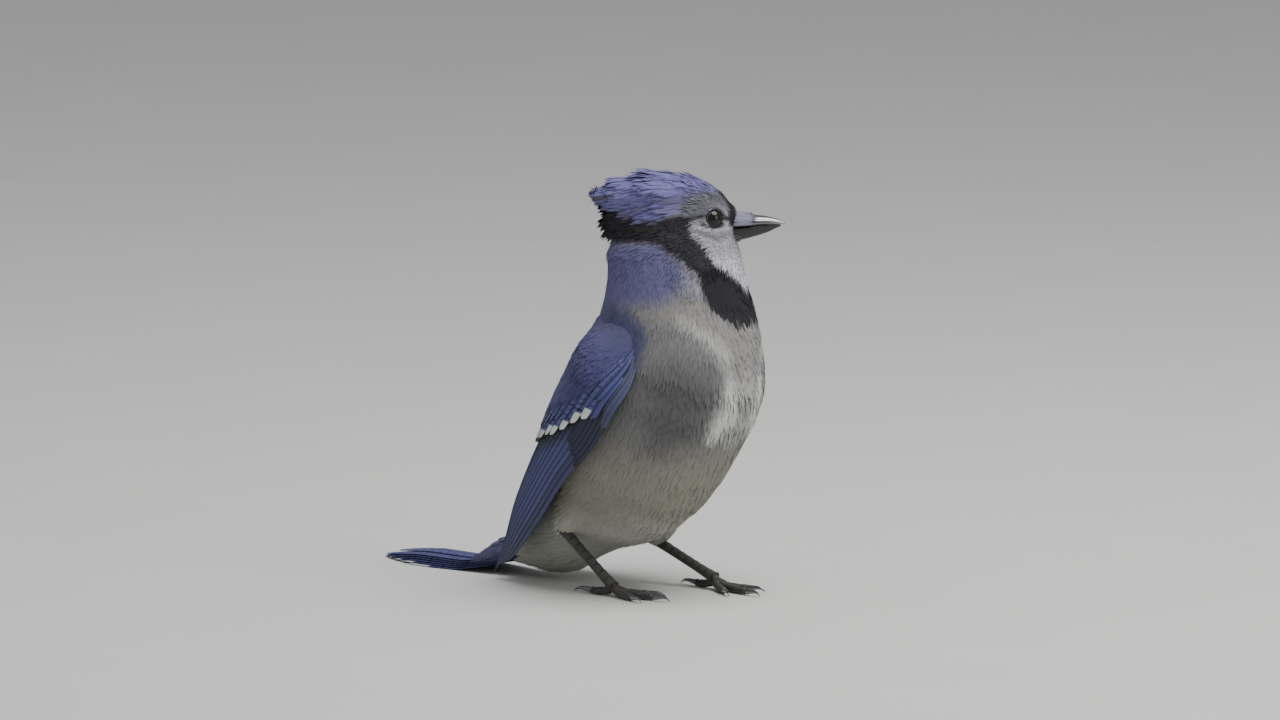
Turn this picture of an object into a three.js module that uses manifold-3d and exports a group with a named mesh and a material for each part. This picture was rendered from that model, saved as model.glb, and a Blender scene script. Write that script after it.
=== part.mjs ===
// A life-size blue jay that stands upright with its head turned to its left.
// +X is the way the body faces, +Y its left side and +Z up. The floor is Z = 0.
import * as THREE from "three";
import { mergeVertices } from "three/addons/utils/BufferGeometryUtils.js";
import Module from "manifold-3d";

const wasm = await Module();
wasm.setup();

const SIDES = ["right", "left"];
const UP = new THREE.Vector3(0, 0, 1);
const { clamp, lerp, smoothstep, degToRad: rad } = THREE.MathUtils;

// Driving sizes, in millimetres, and turns, in degrees.
const SEAM = 0.3; // the gap that two touching pieces keep
const HEAD_TURN = 42; // how far the head looks to the left of the body
const HEAD_X = 6; // the upright axis that the head turns about
const NECK_TOP = 149.5;
const NECK_BASE = 127;
const EYE_RADIUS = 4.4;
const SHANK_LENGTH = 34.5;
const SHANK_RADIUS = 1.95;
const SHANK_SCUTES = 7;
const TOE_RADIUS = 1.5;
const TAIL_LENGTH = 119;
const VANE_THICKNESS = 0.55;
const VANE_STEP = 0.87; // from one vane's middle to the next one's that lies over it
const VANE_CAMBER = 0.12; // how far the middle of a vane's width stands above its edges

// The trunk follows this spine in the middle plane, from under the tail up into the head. Each station
// gives the spine's place, how far the body reaches to its front, back and side, and the neck's turn.
const TRUNK = [
  { x: -85, z: 9.2, front: 6, back: 4, side: 9.5, turn: 0 },
  { x: -76, z: 13.4, front: 12.5, back: 6, side: 12, turn: 0 },
  { x: -63, z: 21.5, front: 23, back: 9.5, side: 14.5, turn: 0 },
  { x: -48, z: 34.5, front: 27.5, back: 15.5, side: 20.5, turn: 0 },
  { x: -33, z: 49, front: 39.5, back: 22, side: 30.5, turn: 0 },
  { x: -19, z: 66, front: 47, back: 27, side: 37, turn: 0 },
  { x: -8, z: 86, front: 51.5, back: 30.5, side: 38, turn: 0 },
  { x: 0, z: 106, front: 53.5, back: 30, side: 35.5, turn: 3 },
  { x: 5, z: 125, front: 42.5, back: 30, side: 29.5, turn: 14 },
  { x: 7, z: 141, front: 31, back: 29.5, side: 24, turn: 36 },
  { x: 6, z: 155, front: 28.5, back: 28, side: 20.5, turn: 42 },
  { x: 6, z: 166, front: 20, back: 18, side: 15, turn: 42 },
];

// The skull follows a level line forwards from the nape, measured from the head's upright axis.
const SKULL = [
  { f: -28, top: 167, bottom: 157, side: 3.5 },
  { f: -21, top: 170.5, bottom: 152.5, side: 8.5 },
  { f: -13, top: 174.5, bottom: 149, side: 13 },
  { f: -5, top: 178, bottom: 147, side: 16.5 },
  { f: 5, top: 179.5, bottom: 146, side: 17.5 },
  { f: 14, top: 178.2, bottom: 147, side: 15.5 },
  { f: 20.5, top: 174.8, bottom: 149, side: 12.4 },
  { f: 25.5, top: 171, bottom: 151.6, side: 9 },
  { f: 29, top: 167.8, bottom: 153.6, side: 6 },
];
const EYE = { f: 17.2, side: 10.1, z: 165.6 };

// The bill, along the same line. The mouth is the line where its two halves part.
const BILL_UPPER = [
  { f: 22, top: 168, bottom: 160.6, side: 5.6 },
  { f: 28.5, top: 167, bottom: 161.3, side: 4.7 },
  { f: 35, top: 166.1, bottom: 161.9, side: 3.7 },
  { f: 41, top: 165.4, bottom: 162.2, side: 2.6 },
  { f: 45, top: 164.4, bottom: 162.3, side: 1.6 },
  { f: 48.6, top: 162.9, bottom: 162.1, side: 0.5 },
];
const BILL_LOWER = [
  { f: 22, top: 160.3, bottom: 154, side: 5.2 },
  { f: 28.5, top: 161, bottom: 155, side: 4.3 },
  { f: 35, top: 161.6, bottom: 156.6, side: 3.3 },
  { f: 41, top: 161.9, bottom: 158.5, side: 2.2 },
  { f: 45, top: 162, bottom: 160.4, side: 1.3 },
  { f: 46.8, top: 161.9, bottom: 161.1, side: 0.7 },
];

// The crest's outer surface, from its tip behind the nape to the forehead.
const CREST = [
  { f: -35.5, top: 175.6, bottom: 171, side: 1.5 },
  { f: -30.5, top: 178.3, bottom: 167.5, side: 4.6 },
  { f: -24, top: 181.8, bottom: 164.5, side: 8.5 },
  { f: -15, top: 184.6, bottom: 162, side: 12 },
  { f: -5, top: 185.4, bottom: 163, side: 14.8 },
  { f: 5, top: 184.2, bottom: 167, side: 14.8 },
  { f: 14, top: 181.4, bottom: 171, side: 12.4 },
  { f: 22, top: 176.8, bottom: 172.5, side: 8 },
  { f: 26, top: 173, bottom: 171, side: 3 },
];
// Its feathers, in rows from the forehead back: the places along that surface of their roots and tips, how
// many, and how far down the sides they go.
const CREST_ROWS = [
  { root: 0.89, tip: 0.6, count: 3, spread: 60 },
  { root: 0.74, tip: 0.4, count: 4, spread: 80 },
  { root: 0.58, tip: 0.2, count: 5, spread: 94 },
  { root: 0.42, tip: 0.07, count: 4, spread: 104 },
  { root: 0.28, tip: 0, count: 3, spread: 100 },
];

// The wing's lower edge, middle and upper edge, from the shoulder to the tip, on the right side.
const WING_EDGES = {
  lower: [
    [24, -34, 118],
    [13, -41, 92],
    [-1, -40, 71.5],
    [-22, -37, 50.5],
    [-45, -29, 28.5],
    [-63, -23.5, 11.5],
    [-80, -19.5, 1.4],
  ],
  middle: [
    [8, -38, 131],
    [-6, -38, 106],
    [-24, -37, 80],
    [-43, -31, 58],
    [-59, -24.5, 38],
    [-69.5, -21, 20],
    [-80.6, -19, 2.2],
  ],
  upper: [
    [-14, -19, 134],
    [-30, -14, 106],
    [-42, -10, 82],
    [-55, -7, 62],
    [-64, -8, 44],
    [-73, -14, 23],
    [-81.2, -18.3, 3],
  ],
};
// Where each flight feather ends along the wing, from the outermost primary in to the last tertial.
const FLIGHT_TIPS = [0.9, 0.95, 0.985, 1, 0.98, 0.95, 0.91, 0.88, 0.86, 0.84, 0.82, 0.8, 0.76, 0.69];

// The legs. Each shank leans forwards from the heel, which the belly hides, to the ball of the foot.
const LEGS = [
  { name: "right", side: -1, ball: new THREE.Vector3(-8.6, -22, 4.2), lean: 37, turn: 4 },
  { name: "left", side: 1, ball: new THREE.Vector3(11, 22, 5), lean: 21, turn: -6 },
];
// Each toe's way out from the ball, its length without the claw, and the claw's length.
const TOES = [
  { name: "back", turn: 180, length: 12.5, claw: 9 },
  { name: "inner", turn: 27, length: 15.5, claw: 7.5 },
  { name: "middle", turn: 2, length: 22, claw: 8 },
  { name: "outer", turn: -22, length: 16.5, claw: 7.5 },
];

// A seeded source of even numbers from -1 to 1.
function variation(seed) {
  let state = seed;
  return () => {
    state = (Math.imul(state, 1664525) + 1013904223) >>> 0;
    return state / 2 ** 31 - 1;
  };
}

// A smooth curve through points given as lists of three numbers.
function through(points) {
  const places = points.map((p) => new THREE.Vector3(...p));
  return new THREE.CatmullRomCurve3(places, false, "catmullrom", 0.5);
}

// A smooth reading of a list of stations: each of their sizes at u, from 0 at the first to 1 at the last.
function smooth(stations) {
  const keys = Object.keys(stations[0]);
  const curves = keys.map((key) => through(stations.map((s) => [s[key], 0, 0])));
  return (u) => Object.fromEntries(keys.map((key, i) => [key, curves[i].getPoint(u).x]));
}

// A geometry as a solid, turned right way out.
function solidOf(geometry) {
  const bare = geometry.clone();
  bare.deleteAttribute("normal");
  bare.deleteAttribute("uv");
  const merged = mergeVertices(bare, 1e-4);
  const at = merged.attributes.position;
  const index = merged.index.array;
  const corners = [];
  let volume = 0;
  const [a, b, c] = [new THREE.Vector3(), new THREE.Vector3(), new THREE.Vector3()];
  for (let i = 0; i < index.length; i += 3) {
    const [p, q, r] = [index[i], index[i + 1], index[i + 2]];
    if (p === q || q === r || r === p) continue;
    corners.push(p, q, r);
    a.fromBufferAttribute(at, p);
    b.fromBufferAttribute(at, q);
    c.fromBufferAttribute(at, r);
    volume += a.dot(b.cross(c));
  }
  if (volume < 0) corners.reverse();
  const mesh = new wasm.Mesh({
    numProp: 3,
    vertProperties: Float32Array.from(at.array),
    triVerts: Uint32Array.from(corners),
  });
  return new wasm.Manifold(mesh);
}

// The largest closed surface of a solid: what a cut left loose and what a union sealed inside are dropped.
function largest(solid) {
  return solid.decompose().sort((p, q) => q.volume() - p.volume())[0];
}

function joined(solids) {
  return solids.reduce((whole, solid) => whole.add(solid));
}

// The pieces that thin cuts leave of a solid, the largest ones only, highest first.
function parted(solid, cuts) {
  const pieces = solid
    .subtract(joined(cuts))
    .decompose()
    .sort((p, q) => q.volume() - p.volume())
    .slice(0, cuts.length + 1);
  const middle = (p) => (p.boundingBox().min[2] + p.boundingBox().max[2]) / 2;
  return pieces.sort((p, q) => middle(q) - middle(p));
}

// A thin square cut of the seam's width, with its middle at a place and its face along a direction.
function seamCut(place, direction, size) {
  const geometry = new THREE.BoxGeometry(size, size, SEAM);
  geometry.applyQuaternion(new THREE.Quaternion().setFromUnitVectors(UP, direction));
  return solidOf(geometry.translate(place.x, place.y, place.z));
}

// A tube of rings laid over a sphere's grid, closed by a point on its axis at each end. ring(u, angle)
// gives a point of the wall and centre(u) one of the axis, both for u from 0 to 1.
function lofted(around, rows, centre, ring) {
  const geometry = new THREE.SphereGeometry(1, around, rows + 2);
  const { position, uv } = geometry.attributes;
  for (let i = 0; i < position.count; i++) {
    const row = Math.round((1 - uv.getY(i)) * (rows + 2));
    const turn = Math.round(uv.getX(i) * around * 2) % (around * 2);
    const pole = row === 0 || row === rows + 2;
    const u = clamp((row - 1) / rows, 0, 1);
    const point = pole ? centre(u) : ring(u, (Math.PI * turn) / around);
    position.setXYZ(i, point.x, point.y, point.z);
  }
  return geometry;
}

// A tube along a curve, whose radius follows u and the angle round it.
function tube(curve, around, rows, radius) {
  return lofted(
    around,
    rows,
    (u) => curve.getPoint(u),
    (u, angle) => {
      const along = curve.getTangent(u);
      const across = new THREE.Vector3().crossVectors(UP, along).normalize();
      const above = new THREE.Vector3().crossVectors(along, across);
      const r = radius(u, angle);
      const point = curve.getPoint(u).addScaledVector(across, Math.cos(angle) * r);
      return point.addScaledVector(above, Math.sin(angle) * r);
    },
  );
}

// The half-widths of a feather at places from its root to its tip, as shares of its widest.
const FLIGHT_VANE = [[0, 0.65], [0.35, 0.95], [0.7, 1], [0.93, 0.7], [1, 0.25]];
const TAIL_VANE = [[0, 0.6], [0.12, 0.72], [0.3, 0.88], [0.6, 1], [0.93, 0.85], [1, 0.4]];
const SHORT_VANE = [[0, 0.55], [0.45, 1], [0.82, 0.88], [1, 0.3]];
const LOCK = [[0, 0.6], [0.4, 1], [0.78, 0.72], [1, 0.18]];

// A feather's vane as a thin closed sheet. at(u, v, h) places it: u runs from root to tip, v from -1 to 1
// across it, and h is the height above its middle. Both faces are split into triangles alike.
function vane(outline, at) {
  const points = [];
  outline.forEach(([u, width], i) => {
    const thick = VANE_THICKNESS * (i === outline.length - 1 ? 0.6 : 1);
    for (const v of [-1, 0, 1]) {
      const camber = v === 0 ? VANE_CAMBER : 0;
      for (const face of [0.5, -0.5]) points.push(at(u, v * width, camber + face * thick));
    }
  });
  const corner = (i, j, k) => (i * 3 + j) * 2 + k;
  const index = [];
  const quad = (a, b, c, d) => index.push(a, b, c, a, c, d);
  for (let i = 0; i < outline.length - 1; i++) {
    for (const j of [0, 1]) {
      quad(corner(i, j, 0), corner(i + 1, j, 0), corner(i + 1, j + 1, 0), corner(i, j + 1, 0));
      const [a, b] = [corner(i, j, 1), corner(i + 1, j, 1)];
      const [c, d] = [corner(i + 1, j + 1, 1), corner(i, j + 1, 1)];
      index.push(a, c, b, a, d, c);
    }
    quad(corner(i, 0, 0), corner(i, 0, 1), corner(i + 1, 0, 1), corner(i + 1, 0, 0));
    quad(corner(i, 2, 1), corner(i, 2, 0), corner(i + 1, 2, 0), corner(i + 1, 2, 1));
  }
  const end = outline.length - 1;
  for (const j of [0, 1]) {
    quad(corner(0, j, 0), corner(0, j + 1, 0), corner(0, j + 1, 1), corner(0, j, 1));
    quad(corner(end, j, 1), corner(end, j + 1, 1), corner(end, j + 1, 0), corner(end, j, 0));
  }
  const geometry = new THREE.BufferGeometry().setFromPoints(points);
  geometry.setIndex(index);
  return solidOf(geometry);
}

// The trunk.
const trunkSpine = through(TRUNK.map((s) => [s.x, 0, s.z]));
const trunkSizes = smooth(TRUNK);

// The section of the trunk at u: its middle, the directions of its front and left side, and its sizes.
function trunkFrame(u) {
  const along = trunkSpine.getTangent(u);
  const sizes = trunkSizes(u);
  const turn = rad(sizes.turn);
  const front = new THREE.Vector3(along.z, 0, -along.x).applyAxisAngle(UP, turn);
  const left = new THREE.Vector3(0, 1, 0).applyAxisAngle(UP, turn);
  return { middle: trunkSpine.getPoint(u), along, front, left, sizes };
}

// The trunk's skin, grown by some millimetres. Its rings keep to the body's own front, so the neck's turn
// doesn't twist them.
function trunkForm(around, rows, grow) {
  const shifted = (u, { middle, along }) => middle.clone().addScaledVector(along, (u * 2 - 1) * grow);
  return lofted(
    around,
    rows,
    (u) => shifted(u, trunkFrame(u)),
    (u, angle) => {
      const frame = trunkFrame(u);
      const turned = angle - rad(frame.sizes.turn);
      const forward = Math.cos(turned);
      const reach = (forward > 0 ? frame.sizes.front : frame.sizes.back) + grow;
      const point = shifted(u, frame).addScaledVector(frame.front, forward * reach);
      return point.addScaledVector(frame.left, Math.sin(turned) * (frame.sizes.side + grow));
    },
  );
}

// How far a point stands out of the trunk's side, and the way out there.
function outOfTrunk(point) {
  let [low, high] = [0, 1];
  for (let i = 0; i < 14; i++) {
    const u = (low + high) / 2;
    if (point.clone().sub(trunkSpine.getPoint(u)).dot(trunkSpine.getTangent(u)) > 0) low = u;
    else high = u;
  }
  const { middle, front, left, sizes } = trunkFrame(low);
  const off = point.clone().sub(middle);
  const forward = off.dot(front);
  const across = off.dot(left);
  const share = Math.hypot(forward / (forward > 0 ? sizes.front : sizes.back), across / sizes.side);
  const way = front.multiplyScalar(forward).addScaledVector(left, across);
  const radius = way.length();
  return { distance: radius * (1 - 1 / share), way: way.divideScalar(radius) };
}

// The head's forms are laid along +X and then turned about the neck.
function headPoint(f, side, z) {
  return new THREE.Vector3(f, side, z).applyAxisAngle(UP, rad(HEAD_TURN)).add(new THREE.Vector3(HEAD_X, 0, 0));
}

const eased = (value, power) => Math.sign(value) * Math.abs(value) ** power;
const roundShape = (across, up) => [across, up];
// The bill's halves are arched on one side and nearly flat where they meet.
const archedAbove = (across, up) => [eased(across, 0.8), up > 0 ? up : eased(up, 0.35)];
const archedBelow = (across, up) => [eased(across, 0.8), up < 0 ? up : eased(up, 0.35)];

// A point of a form along the head's level line. The angle is 0 on the left and 90 degrees on top.
function onHeadForm(s, angle, grow, shape = roundShape) {
  const [across, up] = shape(Math.cos(angle), Math.sin(angle));
  const height = (s.top - s.bottom) / 2 + grow;
  return headPoint(s.f, across * (s.side + grow), (s.top + s.bottom) / 2 + up * height);
}

function headForm(stations, around, rows, grow, shape, from = 0) {
  const sizes = smooth(stations);
  const at = (u) => {
    const s = sizes(lerp(from, 1, u));
    return { ...s, f: s.f + (u * 2 - 1) * grow };
  };
  return lofted(
    around,
    rows,
    (u) => headPoint(at(u).f, 0, (at(u).top + at(u).bottom) / 2),
    (u, angle) => onHeadForm(at(u), angle, grow, shape),
  );
}

for (const leg of LEGS) {
  leg.back = new THREE.Vector3(-Math.cos(rad(leg.lean)), 0, Math.sin(rad(leg.lean)));
  leg.heel = leg.ball.clone().addScaledVector(leg.back, SHANK_LENGTH);
}

// The feathered thigh, which comes out of the belly and ends round the heel.
function thighForm({ heel, side }, grow) {
  const hip = new THREE.Vector3(heel.x + 8, side * 17, heel.z + 22);
  const knee = new THREE.Vector3(heel.x - 1, heel.y, heel.z - 0.5);
  knee.addScaledVector(knee.clone().sub(hip).normalize(), grow);
  return tube(new THREE.LineCurve3(hip, knee), 12, 7, (u) => 3.2 + 9.5 * (1 - u) ** 0.6 + grow);
}

function bodyOf(grow) {
  const forms = [trunkForm(24, 20, grow), headForm(SKULL, 18, 11, grow)];
  return joined([...forms, ...LEGS.map((leg) => thighForm(leg, grow))].map(solidOf));
}

const grownBody = bodyOf(SEAM);

// The eyes, with a lid round each that the head carries.
const eyes = [-1, 1].map((side) => {
  const place = headPoint(EYE.f, side * EYE.side, EYE.z);
  const outward = headPoint(0.42, side * 0.9, 0.12).sub(headPoint(0, 0, 0)).normalize();
  const sphere = (radius) => new THREE.SphereGeometry(radius, 14, 10).translate(place.x, place.y, place.z);
  const lid = new THREE.TorusGeometry(3.75, 0.75, 5, 12);
  lid.applyQuaternion(new THREE.Quaternion().setFromUnitVectors(UP, outward));
  lid.translate(...place.clone().addScaledVector(outward, 2.4).toArray());
  return { ball: solidOf(sphere(EYE_RADIUS)), socket: solidOf(sphere(EYE_RADIUS + SEAM)), lid: solidOf(lid) };
});

// Bristly plumes that lie forwards over the nostrils, clear of the bill.
function nostrilPlumes() {
  const sizes = smooth(BILL_UPPER);
  const plumes = [];
  for (const slant of [-66, -24, 24, 66]) {
    const reach = 0.37 - 0.0008 * Math.abs(slant);
    const at = (u, v, h) => {
      const s = sizes(lerp(0.08, reach, u));
      return onHeadForm(s, rad(90 - slant - v * 18), SEAM + 0.55 + h, archedAbove);
    };
    plumes.push(vane(LOCK, at));
  }
  return plumes;
}

// Loose tufts that stand out from the nape under the crest: how far each is to the left, the heights of its
// root and tip, and how far forward its tip is.
const NAPE_TUFTS = [
  { side: -2.6, root: 163, tip: 165, reach: -34 },
  { side: 2.6, root: 163, tip: 165.4, reach: -33.5 },
  { side: -6.4, root: 159, tip: 158.5, reach: -29.5 },
  { side: -2, root: 159, tip: 160.2, reach: -32 },
  { side: 2.4, root: 159, tip: 159.4, reach: -31 },
  { side: 6.6, root: 159, tip: 158, reach: -29 },
];
function napeTufts() {
  const vary = variation(7);
  return NAPE_TUFTS.map(({ side, root, tip, reach }) => {
    const end = tip + 0.8 * vary();
    const at = (u, v, h) => {
      const z = lerp(root, end, u) - 3 * u * (1 - u);
      return headPoint(lerp(-15, reach, u), side * (1 - 0.3 * u) + v * 2.7, z + h);
    };
    return vane(LOCK, at);
  });
}

const billUpper = largest(solidOf(headForm(BILL_UPPER, 12, 10, 0, archedAbove)).subtract(grownBody));
const billLower = largest(solidOf(headForm(BILL_LOWER, 12, 9, 0, archedBelow)).subtract(grownBody));

const dressedBody = joined([bodyOf(0), ...eyes.map((eye) => eye.lid), ...nostrilPlumes(), ...napeTufts()]);
const [head, neck, torso] = parted(dressedBody.subtract(joined(eyes.map((eye) => eye.socket))), [
  seamCut(new THREE.Vector3(HEAD_X, 0, NECK_TOP), UP, 120),
  seamCut(new THREE.Vector3(HEAD_X, 0, NECK_BASE), UP, 120),
]);

// The crest: a scalp, and rows of feathers that rise from it, each row over the roots of the one behind.
function crestSolid() {
  const vary = variation(3);
  const sizes = smooth(CREST);
  const pieces = [solidOf(headForm(CREST, 12, 8, -1.1, roundShape, 0.07))];
  CREST_ROWS.forEach(({ root, tip, count, spread }, row) => {
    const step = (2 * spread) / count;
    for (let i = 0; i < count; i++) {
      const slant = (i + 0.5) * step - spread + 0.8 * vary();
      const reach = Math.max(0, tip + 0.02 * vary());
      const at = (u, v, h) => {
        const rise = lerp(-2, 0.8, smoothstep(u, 0, 0.85)) + 0.2 * (row % 2);
        return onHeadForm(sizes(lerp(root, reach, u)), rad(90 - slant - v * step * 0.46), rise + h);
      };
      pieces.push(vane(LOCK, at));
    }
  });
  return joined(pieces);
}
const crest = largest(crestSolid().subtract(grownBody));

// The sheet that a wing's feathers lie on: s runs from the shoulder to the tip and t from the lower edge to
// the upper one. At the shoulder it is sunk in the trunk, and further back it is pushed clear of it.
const wingEdges = Object.values(WING_EDGES).map(through);
function wingSheet(side, s, t) {
  const [low, middle, high] = wingEdges.map((edge) => edge.getPoint(clamp(s, 0, 1)));
  const point = low.multiplyScalar((1 - t) * (1 - 2 * t));
  point.addScaledVector(middle, 4 * t * (1 - t)).addScaledVector(high, t * (2 * t - 1));
  point.y *= -side;
  const { distance, way } = outOfTrunk(point);
  const short = lerp(-3.2, 0.4, smoothstep(s, 0, 0.42)) - distance;
  const push = Math.abs(short) > 3 ? Math.max(short, 0) : (short + 3) ** 2 / 12;
  return point.addScaledVector(way, push);
}

// A point at a height above that sheet.
function overWing(side, s, t, height) {
  const step = 0.015;
  const at = clamp(s, step, 1 - step);
  const along = wingSheet(side, at + step, t).sub(wingSheet(side, at - step, t));
  const across = wingSheet(side, at, t + step).sub(wingSheet(side, at, t - step));
  const outward = across.cross(along).normalize().multiplyScalar(-side);
  return wingSheet(side, s, t).addScaledVector(outward, height);
}

// The sheet's width at s, in millimetres.
function wingWidth(s) {
  const [low, middle, high] = wingEdges.map((edge) => edge.getPoint(clamp(s, 0, 0.96)));
  return low.distanceTo(middle) + middle.distanceTo(high);
}

// Feathers lie like shingles, each over the inner half of the one below it, so every vane slopes by one
// step between its own lower edge and the next feather's.
const FLIGHT_TOP = 3.3;
const COVERT_SPACING = 0.105;
const COVERTS = [
  { first: 0, count: 9, root: 0.17, tip: (k) => 0.455 - 0.007 * k, top: FLIGHT_TOP + 2.05 },
  { first: 1, count: 7, root: 0.07, tip: (k) => (k < 5 ? 0.28 : 0.31), top: FLIGHT_TOP + 2.92 },
];

function wingSolid(side) {
  const vary = variation(side > 0 ? 11 : 12);
  const arm = (s) => lerp(1.2, 3.6, smoothstep(s, 0, 0.1)) - 1.1 * smoothstep(s, 0.3, 0.42);
  const pieces = [
    solidOf(
      lofted(
        16,
        8,
        (u) => overWing(side, 0.42 * u, 0.5, 0),
        (u, angle) => {
          const [across, up] = [eased(Math.cos(angle), 0.8), eased(Math.sin(angle), 0.8)];
          const shoulder = Math.sqrt(1 - 0.94 * Math.max(0, 1 - 3.2 * u) ** 2);
          const height = up > 0 ? up * arm(0.42 * u) : up * 1.5;
          return overWing(side, 0.42 * u, 0.5 - 0.47 * shoulder * across, height);
        },
      ),
    ),
  ];
  FLIGHT_TIPS.forEach((end, k) => {
    const tip = end + 0.004 * vary();
    const at = (u, v, h) => {
      const s = lerp(0.3, tip, u);
      const spacing = 0.063 + 0.06 * Math.max(0, 2 * s - 1) ** 2;
      const width = Math.min(9.5 / wingWidth(s), 3.2 * spacing);
      const below = (width * (v + 1)) / 2;
      return overWing(side, s, spacing * k + below, FLIGHT_TOP - (VANE_STEP * below) / spacing + h);
    };
    pieces.push(vane(FLIGHT_VANE, at));
  });
  for (const { first, count, root, tip, top } of COVERTS) {
    for (let k = first; k < first + count; k++) {
      const reach = tip(k) + 0.006 * vary();
      const at = (u, v, h) => {
        const below = COVERT_SPACING * 1.25 * (v + 1) * 0.5;
        const height = lerp(2, top - (VANE_STEP * below) / COVERT_SPACING, smoothstep(u, 0, 0.4));
        return overWing(side, lerp(root, reach, u), COVERT_SPACING * k + below, height + h);
      };
      pieces.push(vane(SHORT_VANE, at));
    }
  }
  return joined(pieces);
}
const wings = [-1, 1].map((side) => largest(wingSolid(side).subtract(grownBody)));

// The tail comes down from the rump and is laid along the floor. Its path is worked out step by step, in
// millimetres, from its slope, which falls away to nothing.
const TAIL_ROOT = { x: -50, z: 30 };
const TAIL_SLOPE = 56;
const TAIL_EASE = 2.5;
const TAIL_FAN = [97, 104, 109.5, 114, 117, TAIL_LENGTH]; // each pair's length, from the outermost in
const tailPath = [{ ...TAIL_ROOT, slope: rad(TAIL_SLOPE) }];
for (let d = 0; d < TAIL_LENGTH + 2; d++) {
  const slope = rad(TAIL_SLOPE) * Math.max(0, 1 - (d + 0.5) / TAIL_LENGTH) ** TAIL_EASE;
  const { x, z } = tailPath[d];
  tailPath.push({ x: x - Math.cos(slope), z: Math.max(z - Math.sin(slope), VANE_THICKNESS / 2), slope });
}

// A point at a distance along the tail's path, and some way to its left and above it.
function onTail(distance, left, above) {
  const step = Math.min(Math.floor(distance), tailPath.length - 2);
  const [p, q] = [tailPath[step], tailPath[step + 1]];
  const share = distance - step;
  const slope = lerp(p.slope, q.slope, share);
  const lift = new THREE.Vector3(-Math.sin(slope), 0, Math.cos(slope)).multiplyScalar(above);
  return new THREE.Vector3(lerp(p.x, q.x, share), left, lerp(p.z, q.z, share)).add(lift);
}

// The layers of the tail, from the floor up. A layer sinks by one step past the end of each one below it.
const tailLayers = TAIL_FAN.map((length, pair) => (pair < 5 ? length : length - 1));
tailLayers.push(TAIL_LENGTH);
function tailLift(layer, distance) {
  const below = tailLayers.slice(0, layer);
  return below.reduce((sum, end) => sum + VANE_STEP * (1 - smoothstep(distance, end - 1, end + 5)), 0);
}

function tailFeather(layer, side, pair, inner) {
  const at = (u, v, h) => {
    const distance = lerp(20, tailLayers[layer], u);
    const outer = lerp(10.4 - 0.6 * pair, 18.6 - 1.75 * pair, u);
    const near = Math.max(inner, outer - 12.5);
    const left = side * lerp(near, outer, (v + 1) / 2);
    return onTail(distance, left, tailLift(layer, distance) + h);
  };
  return vane(TAIL_VANE, at);
}

function tailSolid() {
  const root = lofted(
    12,
    6,
    (u) => onTail(lerp(4, 44, u), 0, 2.6),
    (u, angle) => {
      const [across, up] = [eased(Math.cos(angle), 0.6), eased(Math.sin(angle), 0.6)];
      return onTail(lerp(4, 44, u), across * lerp(9.5, 10.5, u), 2.6 + up * lerp(4.4, 3.3, u));
    },
  );
  const pieces = [solidOf(root), tailFeather(5, 1, 5, -2.5), tailFeather(6, -1, 5, -2.5)];
  for (let pair = 0; pair < 5; pair++) {
    for (const side of [-1, 1]) pieces.push(tailFeather(pair, side, pair, 0.25));
  }
  return joined(pieces);
}
const tail = largest(tailSolid().subtract(grownBody));

// Everything below the floor is cut off flat.
const belowFloor = solidOf(new THREE.BoxGeometry(600, 400, 50).translate(0, 0, -25));

// A leg's bare shank, its foot and its claws. The scutes are bands raised on the front of the shank.
function legOf({ name, side, ball, heel, back, turn }) {
  const top = heel.clone().addScaledVector(back, 4);
  const shankRadius = (u, angle) => {
    const band = ((u * SHANK_SCUTES) % 1) - 0.5;
    const front = 1 - 0.12 * band * Math.max(0, Math.sin(angle));
    return SHANK_RADIUS * (1 + 0.28 * (2 * u - 1) ** 4) * front;
  };
  let leg = solidOf(tube(new THREE.LineCurve3(top, ball), 7, 3 * SHANK_SCUTES, shankRadius));
  const claws = [];
  for (const toe of TOES) {
    const way = new THREE.Vector3(1, 0, 0).applyAxisAngle(UP, rad(side * -toe.turn + turn));
    const tip = ball.clone().addScaledVector(way, toe.length).setZ(TOE_RADIUS * 0.9);
    const near = ball.clone().addScaledVector(way, toe.length * 0.4).setZ(TOE_RADIUS * 0.85);
    const root = ball.clone().addScaledVector(way, -0.5);
    const curve = new THREE.CatmullRomCurve3([root, near, tip]);
    const pads = (u) => TOE_RADIUS * (1.15 - 0.25 * u + 0.08 * Math.cos(u * 19));
    leg = leg.add(solidOf(tube(curve, 6, 6, pads)));
    const ahead = curve.getTangent(1);
    const end = tip.clone().addScaledVector(ahead, SEAM);
    const clawCurve = new THREE.CubicBezierCurve3(
      end,
      end.clone().addScaledVector(ahead, toe.claw * 0.3),
      end.clone().addScaledVector(way, toe.claw * 0.8).setZ(TOE_RADIUS * 2),
      end.clone().addScaledVector(way, toe.claw).setZ(0.2),
    );
    const claw = solidOf(tube(clawCurve, 6, 4, (u) => lerp(TOE_RADIUS * 0.8, 0.15, u)));
    claws.push({ name: `claw_${name}_${toe.name}`, solid: largest(claw.subtract(belowFloor)) });
  }
  leg = leg.subtract(grownBody).subtract(belowFloor);
  const [shank, foot] = parted(leg, [seamCut(ball.clone().addScaledVector(back, 5), back, 5.4)]);
  return { name, shank, foot, claws };
}

function material(colour, roughness) {
  return new THREE.MeshStandardMaterial({ color: colour, roughness, metalness: 0 });
}
const MATERIALS = {
  crestFeather: material(0x4a4e86, 0.8),
  wingFeather: material(0x2f4a86, 0.6),
  paleFeather: material(0xa6a5a2, 0.9),
  neckFeather: material(0x5a5c80, 0.9),
  horn: material(0x2b2a2b, 0.35),
  scale: material(0x4b4846, 0.6),
  eye: material(0x14100e, 0.08),
};

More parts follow.
